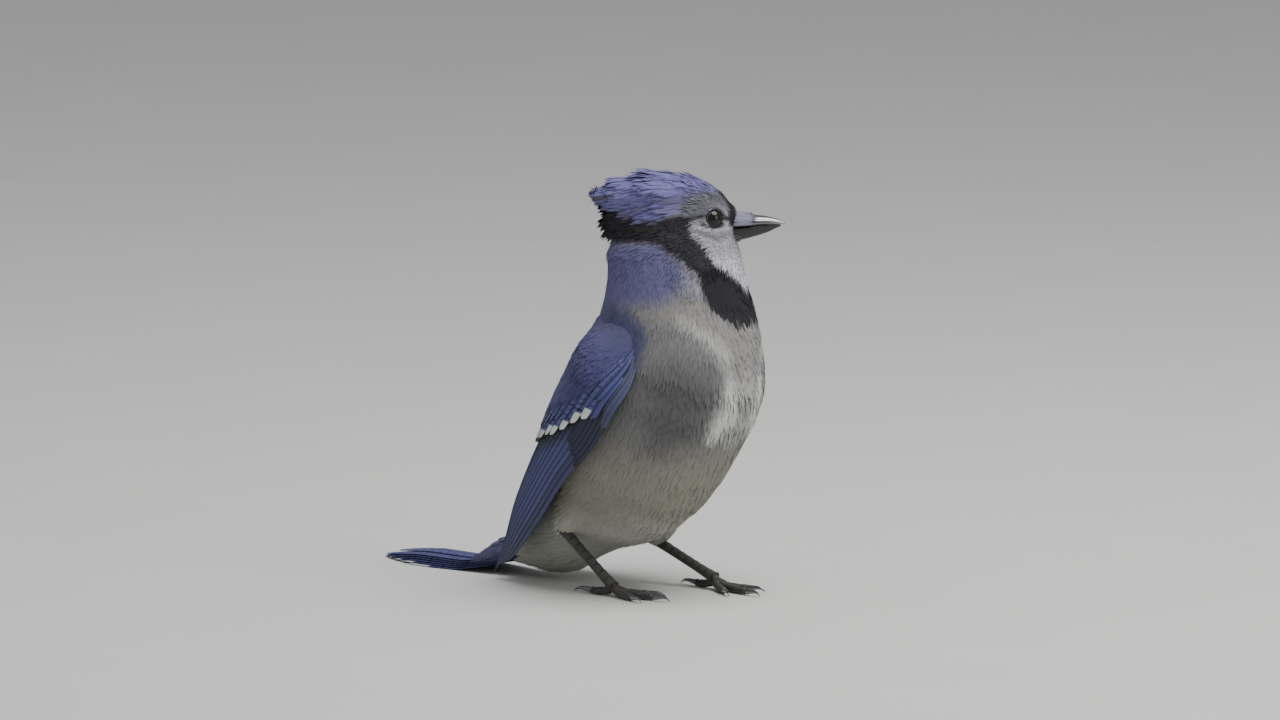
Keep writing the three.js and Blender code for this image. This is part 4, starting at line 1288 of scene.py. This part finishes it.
def wing_vanes(side, seed):
    chance = np.random.default_rng(seed)
    sheet = SHEETS[side]
    vanes = [flight_feather(sheet, k, chance) for k in range(FLIGHT_FEATHERS)]
    for count, first, step, width, root, tip, shorter, top, marks in EDGE_ROWS:
        for k in range(count):
            low, end = first + step * k, tip - shorter * k
            vanes.append(covert(sheet, low, width, root, end, FLIGHT_TOP + top, chance, **marks))
    for row, shift, top in ((0, 0, 1.7), (1, -0.055, 2.3)):
        for k in range(COVERTS):
            low = 0.06 + COVERT_SPACING * (k + 0.5 * row)
            tip = np.interp(low + 0.04, *COVERT_ENDS) + shift
            bars = (1.0 - 0.3 * row) * eased(low, 0.05, 0.2)
            marks = {"blue": 1.0, "bars": bars, "white_mm": 0 if row or k == 0 else 5.6 + 0.5 * (k % 3)}
            width = COVERT_SPACING * 1.45
            vanes.append(covert(sheet, low, width, tip - 0.18, tip, FLIGHT_TOP + top, chance, **marks))
    return feathered(f"wing_feathers_{side}", vanes)


for side, seed in (("right", 11), ("left", 12)):
    hand_over(wing_vanes(side, seed), "wing_feather", hooked_barbs, f"wing_{side}")

# %% [markdown]
# ## The wing's small feathers
#
# Over the arm lie rows of small rounded feathers, and the shoulder's own feathers fall over the wing's
# upper edge. They grow on a smooth closed form, the arm, like the body's coat on the skin.

# %% Cover the arms
ARM_END = 0.43


def arm(side):
    sheet = SHEETS[side]
    u, turn = tube_grid(60, 56)
    across, up = signed_power(np.cos(turn), 0.8), signed_power(np.sin(turn), 0.8)
    shoulder = np.sqrt(1 - 0.94 * np.maximum(0, 1 - 3.2 * u) ** 2)
    s = ARM_END * u
    t = 0.5 - 0.48 * shoulder * across
    covered = np.interp(t, *COVERT_ENDS)
    bulge = 5.5 * eased(s, 0, 0.2) * eased(s, covered, covered - 0.13)
    crown = 0.3 + bulge * (1 - 0.7 * eased(t, 0.66, 0.98))
    height = np.where(up > 0, up * crown, up * 1.5)
    places, faces = closed_tube(on_wing(sheet, s, t, height))
    piece = turned_out(mesh_piece(f"arm_{side}", places, faces))
    s, t = (np.append(value.ravel(), (value[0, 0], value[-1, 0])) for value in (s, t))
    under = on_wing(sheet, s, t, 0 * s)
    lie = unit(on_wing(sheet, s + 0.01, t, 0 * s) - under)
    outward = on_wing(sheet, s, t, 0 * s + 1) - under
    normals = normals_of(piece.data)
    outside = (normals * outward).sum(1) / MM > 0.4
    here = outside * (s > 0.03) * (s < np.interp(t, *SMALL_ENDS) - 0.02)
    write(piece.data, lie=lie, outward=normals, feather_mm=5 + 2.5 * eased(s, 0.05, 0.3), arm_here=here)
    # In front the arm takes the body's colours, and further back its own blues.
    front = eased(s, 0.12, 0.04)
    body = markings(places, normals)
    for name, own in (("mantle", 1), ("wing", 0.35 + 0.65 * eased(t, 0.75, 0.15)), ("light", 0)):
        write(piece.data, **{name: body[name] * front + own * (1 - front)})
    unwrapped(piece, "SkinUV")
    return piece


for side, seed in (("right", 21), ("left", 22)):
    form_of_arm = arm(side)
    coat = grow_coat(f"coat_arm_{side}", form_of_arm, soft_coat, "arm_here", 0.85, 1.5, 1.8, seed)
    hand_over(coat, "wing_feather", loose_barbs)
    hand_over(form_of_arm, "wing_feather", loose_barbs, f"wing_{side}")

# %% [markdown]
# ## The tail
#
# Twelve tail feathers lie in a narrow fan, the middle pair on top. The tail comes down from the rump and
# is laid along the floor. Its path is worked out step by step from a slope that falls away to nothing.

# %% Lay the tail
TAIL_ROOT = (-50, 30)
TAIL_SLOPE, TAIL_EASE = math.radians(56), 2.5
TAIL_LENGTHS = [97, 104, 109.5, 114, 117, 119]  # each pair's, from the outermost in
TAIL_COVERED = 18  # the length of the feathers' roots, which stay inside the rump
TAIL_REACH = TAIL_LENGTHS[-1]
TAIL_STEP = 0.62
FLOOR_CLEARANCE = 0.3


def tail_path():
    step = np.arange(TAIL_REACH + 2)
    slopes = TAIL_SLOPE * np.maximum(0, 1 - (step + 0.5) / TAIL_REACH) ** TAIL_EASE
    x = TAIL_ROOT[0] - np.append(0, np.cumsum(np.cos(slopes)))
    z = np.maximum(TAIL_ROOT[1] - np.append(0, np.cumsum(np.sin(slopes))), FLOOR_CLEARANCE)
    return x, z, np.append(TAIL_SLOPE, slopes)


TAIL_X, TAIL_Z, TAIL_SLOPES = tail_path()


def on_tail(distance, left, above):
    marks = np.arange(len(TAIL_X))
    x, z, slope = (np.interp(distance, marks, values) for values in (TAIL_X, TAIL_Z, TAIL_SLOPES))
    x = x - np.sin(slope) * above
    z = z + np.cos(slope) * above
    return BODY_ZERO + np.stack([x, left + 0 * x, z], -1) * MM


def tail_lift(layer, distance):
    """How high a layer lies over the ones below it, which end sooner."""
    return sum(TAIL_STEP * (1 - eased(distance, end - 1, end + 6)) for end in TAIL_LENGTHS[:layer])


def tail_feather(pair, side, layer, chance):
    length = TAIL_LENGTHS[pair] - (0.8 if layer > pair else 0) + chance.uniform(-0.5, 0.5)

    def at(u, v, height):
        distance = TAIL_COVERED + (length - TAIL_COVERED) * u
        outer = (10.4 - 0.6 * pair) * (1 - u) + (18.6 - 1.75 * pair) * u
        near = np.maximum(0.2, outer - 12.5) if pair < 5 else -2.5
        left = side * (near + (outer - near) * (v + 1) / 2)
        return on_tail(distance, left, tail_lift(layer, distance) + height)

    u, v = vane_grid(LONG_CELLS)
    blue = 0.9 * eased(u, 0.05, 0.3) * (eased(v, -0.2, 0.1) if pair < 4 else 1)
    white = 0 if pair > 3 else 16 - 3.6 * pair
    marks = {"blue": blue, "bars": 0.8 * blue, "white_mm": white, "tone": chance.uniform(0.2, 0.6), "worn": 0}
    return vane(TAIL_OUTLINE, at, LONG_CELLS, 0.25, **marks)


chance = np.random.default_rng(31)
tail_vanes = [tail_feather(pair, side, pair, chance) for pair in range(6) for side in (-1, 1)]
tail_vanes[-1] = tail_feather(5, 1, 6, chance)  # the last of the middle pair lies over its mate
hand_over(feathered("tail_feathers", tail_vanes), "wing_feather", hooked_barbs, "tail")

# %% [markdown]
# ## Over the tail's roots
#
# The rump's last small feathers run on over the roots of the tail's feathers, so that no step shows where the
# body ends. They grow on a low closed form that rises under them and thins out along the tail. Their tufts
# are broad and rounded, so few of them cover it.

# %% Cover the tail's roots
BASE_START, BASE_LENGTH = 3, 69
small_rows = [(0.25, 0.75), (0.55, 1.0), (0.82, 0.86), (0.95, 0.5)]
small_feathers = tuft_collection("small_feather", small_rows, 0.07, 0.09, 0.008, (0, -0.05, 0.05))
scale_coat = coat_tree("scale_coat", small_feathers)


def tail_base():
    u, turn = tube_grid(40, 40)
    across, up = signed_power(np.cos(turn), 0.6), signed_power(np.sin(turn), 0.6)
    distance = BASE_START + BASE_LENGTH * u
    rise = (5.2 + 2.8 * eased(distance, 22, 40)) * (1 - 0.96 * eased(distance, 40, 71))
    height = np.maximum(2 + up * rise, 0.3)
    places, faces = closed_tube(on_tail(distance, across * (9 + 1.5 * u) * (1 - 0.5 * u**6), height))
    piece = turned_out(mesh_piece("tail_base", places, faces))
    distance = np.append(distance.ravel(), (BASE_START, BASE_START + BASE_LENGTH))
    outward = normals_of(piece.data)
    lie = unit(flattened(on_tail(distance + 1, 0, 0) - on_tail(distance, 0, 0), outward))
    # Feathers grow on its upper side only, from where the rump's last ones end.
    here = (outward[:, 2] > 0.2) * (distance > 14) * (distance < 60)
    write(piece.data, lie=lie, outward=outward, feather_mm=6 + 4 * eased(distance, 5, 30), base_here=here)
    write(piece.data, mantle=0 * distance + 0.5, wing=0 * distance + 0.6)
    unwrapped(piece, "SkinUV")
    return piece


base_form = tail_base()
coat = grow_coat("coat_tail_base", base_form, scale_coat, "base_here", 1.5, 3.2, 1.5, 33)
hand_over(coat, "wing_feather", loose_barbs)
hand_over(base_form, "wing_feather", loose_barbs)

# %% [markdown]
# ## The bill
#
# A bill is bone in a sheath of black horn, which is smooth and a little glossy. Its halves are each a tube
# along the head's level line, arched on the outside, nearly flat where they meet, and narrow to a blunt
# point. The upper half has a rounded ridge along its top.

# %% Shape the bill
BILL_UPPER = [
    # ahead, top, bottom, half-width
    (22, 168, 160.6, 5.6), (28.5, 167, 161.3, 4.7), (35, 166.1, 161.9, 3.7), (41, 165.4, 162.2, 2.6),
    (45, 164.4, 162.3, 1.6), (48.6, 162.9, 162.1, 0.5),
]
BILL_LOWER = [
    (22, 160.3, 154, 5.2), (28.5, 161, 155, 4.3), (35, 161.6, 156.6, 3.3), (41, 161.9, 158.5, 2.2),
    (45, 162, 160.4, 1.3), (46.8, 161.9, 161.1, 0.7),
]


def on_bill(stations, u, turn, over, grow=0.0):
    """A point of the bill's horn. over is 1 for the upper half and -1 for the lower one."""
    ahead, top, bottom, side = np.moveaxis(along(stations, u), -1, 0)
    steep = 1.3 if over > 0 else 0.8
    outer = np.sin(turn) * over > 0
    across = signed_power(np.cos(turn), np.where(outer, steep, 0.8)) * (side + grow)
    up = signed_power(np.sin(turn), np.where(outer, steep, 0.35))
    ridge = 0.22 * np.exp(-((np.cos(turn) / 0.16) ** 2)) * outer * (1 - u) * over
    widest = bottom + (top - bottom) * (0.5 - 0.22 * over)
    up = widest + up * (np.where(up > 0, top - widest, widest - bottom) + grow) + ridge
    return NECK_AXIS + (ahead[..., None] * AHEAD + across[..., None] * LEFT + up[..., None] * UP) * MM


def horn_material(name, shine, rough_least, relief_depth):
    material, tree = new_material(name)
    growth = mottled(tree, 0.9, 3.0)
    shade = blend(tree, growth, colour("#161517"), colour("#2c2a2e"))
    rough = reckon(tree, "MULTIPLY_ADD", growth, 0.12, rough_least)
    gloss = {"Coat Weight": shine, "Coat Roughness": rough_least, "Coat IOR": 2.0}
    relief = bumped(tree, growth, relief_depth, 0.1)
    finish_material(tree, shade, rough, {"Specular IOR Level": shine, "Normal": relief} | gloss)
    return material


polished_horn = horn_material("polished_black_horn", 1.0, 0.12, 0.06)
dull_horn = horn_material("dull_black_horn", 0.25, 0.4, 0.15)
halves = (("bill_upper", BILL_UPPER, 1, polished_horn), ("bill_lower", BILL_LOWER, -1, dull_horn))
for name, stations, over, horn in halves:
    u, turn = tube_grid(70, 48)
    piece = turned_out(mesh_piece(f"{name}_horn", *closed_tube(on_bill(stations, u, turn, over))))
    hand_over(piece, "horn", horn, name)

# %% [markdown]
# ## Bristles over the nostrils
#
# A jay's nostrils are hidden under small stiff feathers that lie forwards along the bill. Short bristles
# like them stand round the gape. They are loose feathers, as on the body.

# %% Lay the bristles
BRISTLE_OUTLINE = ((0, 0.5, 0.85, 1), (0.7, 1, 0.5, 0.05))
BRISTLE_CELLS = (5, 4)


def bristle(stations, over, turn, root, tip, dark, chance):
    lean = chance.uniform(-0.12, 0.12)

    def at(u, v, height):
        way = turn + lean * u + v * 0.11
        return on_bill(stations, root + (tip - root) * u, way, over, 0.35 + 0.25 * u + height)

    marks = {"lilac": chance.uniform(0.5, 0.9), "mantle": chance.uniform(0, 0.35)}
    marks |= {"tone": chance.uniform(0, 1), "ear": dark, "along": vane_grid(BRISTLE_CELLS)[0]}
    return vane(BRISTLE_OUTLINE, at, BRISTLE_CELLS, 0.12, **marks)


chance = np.random.default_rng(41)
bristles = []
for i in range(120):
    turn = math.radians(chance.uniform(-4, 184))
    root = chance.uniform(0.06, 0.2)
    tip = chance.uniform(0.26, 0.35) + 0.15 * abs(math.cos(turn)) - 0.06 * abs(math.cos(turn)) ** 8
    bristles.append(bristle(BILL_UPPER, 1, turn, root, tip, 0.0, chance))
for i in range(30):
    turn = math.radians(chance.uniform(188, 352))
    root = chance.uniform(0.02, 0.14)
    tip = root + chance.uniform(0.07, 0.13)
    bristles.append(bristle(BILL_LOWER, -1, turn, root, tip, chance.uniform(0.5, 0.9), chance))
hand_over(feathered("nostril_bristles", bristles), "pale_feather", loose_barbs)

# %% [markdown]
# ## The eyes
#
# The eye is a moist ball, so it is the glossiest part of the bird. The iris is dark brown round a black
# pupil. A bare lid rims it, folded into fine beads.

# %% Make the eyes
EYE_RADIUS = 4.35
LID_OUT, LID_RADIUS, LID_THICK = 2.85, 3.25, 0.4
LID_STEPS, LID_AROUND, LID_BEADS = 144, 12, 36


def eye_material():
    material, tree = new_material("moist_eye")
    off = reading(tree, "off_axis")
    shade = blend(tree, ramp(tree, off, 0.46, 0.5), colour("#050405"), colour("#140d0a"))
    shade = blend(tree, ramp(tree, off, 0.85, 0.98), shade, colour("#0a0808"))
    finish_material(tree, shade, 0.05, {"Specular IOR Level": 0.45})
    return material


def round_axis(axis, turn):
    """The level part and the upright part of the directions round an axis, at turns from level."""
    side = unit(np.cross(axis, UP))
    over = np.cross(side, axis)
    return np.cos(turn)[..., None] * side, np.sin(turn)[..., None] * over


def ball(name, middle, axis, radius):
    u, turn = tube_grid(40, 64, 0.02, 0.98)
    side, over = round_axis(axis, turn)
    polar = (u * math.pi)[..., None]
    ring = np.cos(polar) * axis + np.sin(polar) * (side + over)
    places, faces = closed_tube(middle + radius * MM * ring)
    piece = turned_out(mesh_piece(name, places, faces))
    write(piece.data, off_axis=np.arccos(np.clip((places - middle) @ axis / radius / MM, -1, 1)))
    return piece


def eyelid(name, middle, axis):
    ways = np.arange(LID_STEPS) * 2 * math.pi / LID_STEPS
    way, turn = np.meshgrid(ways, np.arange(LID_AROUND) * 2 * math.pi / LID_AROUND, indexing="ij")
    bead = LID_THICK * (1 + 0.12 * np.cos(LID_BEADS * way))
    side, over = round_axis(axis, way)
    ring = side * 1.04 + over * 0.94
    places = middle + ring * (LID_RADIUS + bead * np.cos(turn))[..., None] * MM
    places = places + axis * (LID_OUT + bead * np.sin(turn))[..., None] * MM - (AHEAD * 0.5 + UP * 0.2) * MM
    number = np.arange(way.size).reshape(way.shape)
    rolls = (number, np.roll(number, -1, 0), np.roll(number, (-1, -1), (0, 1)), np.roll(number, -1, 1))
    faces = np.stack([corner.ravel() for corner in rolls], 1).tolist()
    return turned_out(mesh_piece(name, places.reshape(-1, 3), faces))


def lid_material():
    material, tree = new_material("bare_lid_skin")
    folds = beaded(tree, 2.6)
    shade = blend(tree, folds, colour("#232225"), colour("#39373b"))
    finish_material(tree, shade, 0.5, {"Normal": bumped(tree, folds, 0.3, 0.1)})
    return material


lid_skin = lid_material()
moist = eye_material()
for side, sign in (("right", -1), ("left", 1)):
    axis = unit(AHEAD * 0.42 + LEFT * 0.9 * sign + UP * 0.12)
    hand_over(ball(f"eyeball_{side}", EYES[side], axis, EYE_RADIUS), "eye", moist, f"eye_{side}")
    hand_over(eyelid(f"eyelid_{side}", EYES[side], axis), "eye", lid_skin)

# %% [markdown]
# ## Legs and feet
#
# A jay's shank and toes are covered in hard black scales: a single row of broad ones, the scutes, down the
# front of the shank and on top of each toe, and small beads beneath. Each is a tube whose radius steps from
# one scute to the next, and swells at the toe's joints and pads.

# %% Shape the legs
SHANK_LENGTH, SHANK_RADIUS, TOE_RADIUS = 34.5, 2.1, 1.6
LEGS = {
    # side: (sign, ball of the foot, lean of the shank, turn of the foot)
    "right": (-1, (-8.6, -22, 4.2), 37, 4),
    "left": (1, (11, 22, 5), 21, -6),
}
TOES = {
    # name: (turn, length, claw's length, scutes)
    "back": (180, 12.5, 9, 7),
    "inner": (27, 15.5, 7.5, 9),
    "middle": (2, 22, 8, 13),
    "outer": (-22, 16.5, 7.5, 11),
}


# %% Scaled tubes
def scaled_tube(points, rows, around, radius):
    """Rings along a curve; radius(u, turn) in millimetres, with the turn 90 degrees on top."""
    u, turn = tube_grid(rows, around)
    middle = along(points, u)
    ways = unit(np.gradient(middle, axis=0))
    across = unit(np.cross(UP, ways))
    above = np.cross(ways, across)
    size, groove = radius(u, turn)
    size = size[..., None]
    rings = middle + size * (np.cos(turn)[..., None] * across + np.sin(turn)[..., None] * above)
    places, faces = closed_tube(BODY_ZERO + rings * MM)
    return places, faces, np.append(groove.ravel(), (0, 0))


def scutes(u, turn, count, depth):
    """How a row of scutes on top changes the radius, and how much painted shade a point takes in the grooves
    between them and in the one along each side.
    """
    step = (u * count) % 1
    top = eased(np.sin(turn), -0.1, 0.35)
    ridge = 1 - 2 * depth * (step - 0.5) * top
    groove = (eased(step, 0.84, 0.99) + eased(step, 0.1, 0.0)) * top
    side = np.exp(-(((np.sin(turn) + 0.05) / 0.14) ** 2))
    return ridge * (1 - 0.03 * side), np.clip(groove + 0.6 * side, 0, 1)


def shank_radius(u, turn):
    ridge, groove = scutes(u, turn, 9, 0.055)
    return SHANK_RADIUS * (1 + 0.3 * (2 * u - 1) ** 4) * ridge, groove


def toe_radius(count):
    def radius(u, turn):
        ridge, groove = scutes(u, turn, count, 0.07)
        under = eased(np.sin(turn), 0.2, -0.6)
        pad = 0.1 * np.abs(np.sin(u * math.pi * count / 4)) * under
        joint = 0.06 * np.cos(u * 19)
        end = np.sqrt(1 - 0.85 * eased(u, 0.9, 1) ** 2)
        return TOE_RADIUS * (1.18 - 0.28 * u + pad + joint) * ridge * end, groove

    return radius


def claw_radius(u, turn):
    size = TOE_RADIUS * 0.78 * (1 - u) ** 0.8 + 0.12
    return size * (1 - 0.22 * np.abs(np.cos(turn))), 0 * u


def floor_way(degrees):
    return np.array([math.cos(math.radians(degrees)), math.sin(math.radians(degrees)), 0])


def bent(points, count=12):
    """Points along the Bezier curve of four points."""
    t = np.linspace(0, 1, count)[:, None]
    a, b, c, d = np.array(points)
    return a * (1 - t) ** 3 + 3 * b * t * (1 - t) ** 2 + 3 * c * t**2 * (1 - t) + d * t**3


# %% Build the legs
def leg_parts(side):
    sign, ball_place, lean, turn = LEGS[side]
    ball_place = np.array(ball_place)
    back = np.array([-math.cos(math.radians(lean)), 0, math.sin(math.radians(lean))])
    tubes = [scaled_tube([ball_place + back * (SHANK_LENGTH + 4), ball_place], 150, 28, shank_radius)]
    claws = {}
    for name, (toe_turn, length, claw, count) in TOES.items():
        way = floor_way(-sign * toe_turn + turn)
        root, near, tip = (ball_place + way * reach for reach in (-1, length * 0.4, length))
        near[2], tip[2] = TOE_RADIUS * 1.3, TOE_RADIUS * 1.12
        tubes.append(scaled_tube([root, near, tip], 8 * count, 22, toe_radius(count)))
        ahead_way = unit(tip - near)
        start = tip - ahead_way * 0.6
        far, end = tip + way * claw * 0.8, tip + way * (claw + 0.3)
        far[2], end[2] = TOE_RADIUS * 2, 0.3
        curve = bent([start, tip + ahead_way * claw * 0.3, far, end])
        claws[name] = scaled_tube(curve, 30, 16, claw_radius)
    return tubes, claws


def scale_material():
    material, tree = new_material("leg_scales")
    beads, dust = beaded(tree, 1.4), mottled(tree, 0.5, 3.0)
    shade = blend(tree, dust, colour("#383634"), colour("#605d5b"))
    shade = blend(tree, reckon(tree, "MULTIPLY", beads, 0.5), shade, colour("#2c2a29"))
    # Painted shade in the grooves between the scutes and along the sides.
    shade = blend(tree, reading(tree, "groove"), shade, colour("#201e1d"))
    rough = reckon(tree, "MULTIPLY_ADD", dust, 0.3, 0.38)
    relief = bumped(tree, beads, 0.4, 0.2)
    finish_material(tree, shade, rough, {"Specular IOR Level": 0.4, "Normal": relief})
    return material


scales = scale_material()
for side in LEGS:
    tubes, claws = leg_parts(side)
    starts = np.cumsum([0] + [len(places) for places, _, _ in tubes])
    faces = [[int(start) + i for i in face] for start, (_, sheet, _) in zip(starts, tubes) for face in sheet]
    leg = mesh_piece(f"leg_{side}", np.vstack([places for places, _, _ in tubes]), faces)
    write(leg.data, groove=np.concatenate([groove for _, _, groove in tubes]))
    hand_over(turned_out(leg), "leg_scale", scales, f"shank_{side}", f"foot_{side}")
    for name, (places, faces, _) in claws.items():
        claw = turned_out(mesh_piece(f"horn_claw_{side}_{name}", places, faces))
        hand_over(claw, "claw", polished_horn, f"claw_{side}_{name}")

# %% [markdown]
# ## The camera and the room
#
# The bird stands on a plain pale floor in soft light, as in a museum's studio. The camera is far off with
# a long lens, a little above the bird.

# %% Set up the camera, the light and the floor
CAMERA_DISTANCE = 5000
FRAME_WIDTH = 556.5  # what the picture's width spans at the bird
FRAME_MIDDLE = (-9.6, 101.1)  # across and up from the body's zero, seen from the camera
SENSOR = 36

right_way = np.array([math.cos(VIEW_TURN), math.sin(VIEW_TURN), 0])
level_back = np.array([math.sin(VIEW_TURN), -math.cos(VIEW_TURN), 0])
back_way = level_back * math.cos(VIEW_RISE) + UP * math.sin(VIEW_RISE)
up_way = np.cross(back_way, right_way)
aim = BODY_ZERO + (right_way * FRAME_MIDDLE[0] + up_way * FRAME_MIDDLE[1]) * MM
camera = placed("camera", bpy.data.cameras.new("camera"))
camera.data.sensor_width = SENSOR
camera.data.lens = SENSOR * CAMERA_DISTANCE / FRAME_WIDTH
camera.data.clip_start, camera.data.clip_end = 0.1, 60
camera.location = Vector(aim + back_way * CAMERA_DISTANCE * MM)
camera.rotation_euler = Vector(back_way).to_track_quat("Z", "Y").to_euler()
bpy.context.scene.camera = camera


# %% Light the room
def soft_box(name, toward, distance, size, power):
    lamp = bpy.data.lights.new(name, "AREA")
    lamp.shape, lamp.size, lamp.energy = "DISK", size, power
    box = placed(name, lamp)
    way = Vector(toward).normalized()
    box.location = Vector(aim) + way * distance
    box.rotation_euler = way.to_track_quat("Z", "Y").to_euler()


soft_box("key", right_way * 0.35 + UP * 1.1 + back_way * 0.2, 1.6, 1.4, 30)
soft_box("fill", right_way * 0.9 + UP * 0.35 + back_way * 0.7, 1.8, 1.3, 7)

world = bpy.data.worlds.new("room")
world.use_nodes = True
world.node_tree.nodes["Background"].inputs[0].default_value = colour("#e4e6e8")
world.node_tree.nodes["Background"].inputs[1].default_value = 0.5
bpy.context.scene.world = world

# %% Lay the floor
floor_material, floor_tree = new_material("matt_painted_board")
grain = mottled(floor_tree, 0.0125, 3.0)
paint = blend(floor_tree, grain, colour("#cfcfcc"), colour("#d6d6d3"))
finish_material(floor_tree, paint, 0.9, {"Normal": bumped(floor_tree, grain, 0.1, 0.2)})
FLOOR_REACH = 12
corners = [(a * FLOOR_REACH, b * FLOOR_REACH, 0) for a, b in ((-1, -1), (1, -1), (1, 1), (-1, 1))]
floor = mesh_piece("floor", corners, [(0, 1, 2, 3)])
floor.data.materials.append(floor_material)
floor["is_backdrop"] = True
print("lens:", round(camera.data.lens), "mm")

# %% [markdown]
# ## Handing over
#
# The box of the dressed bird is measured and printed at the end.

# %% Measure and finish
low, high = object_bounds()
print("visual:", [round(v / MM) for v in high - low], "mm")
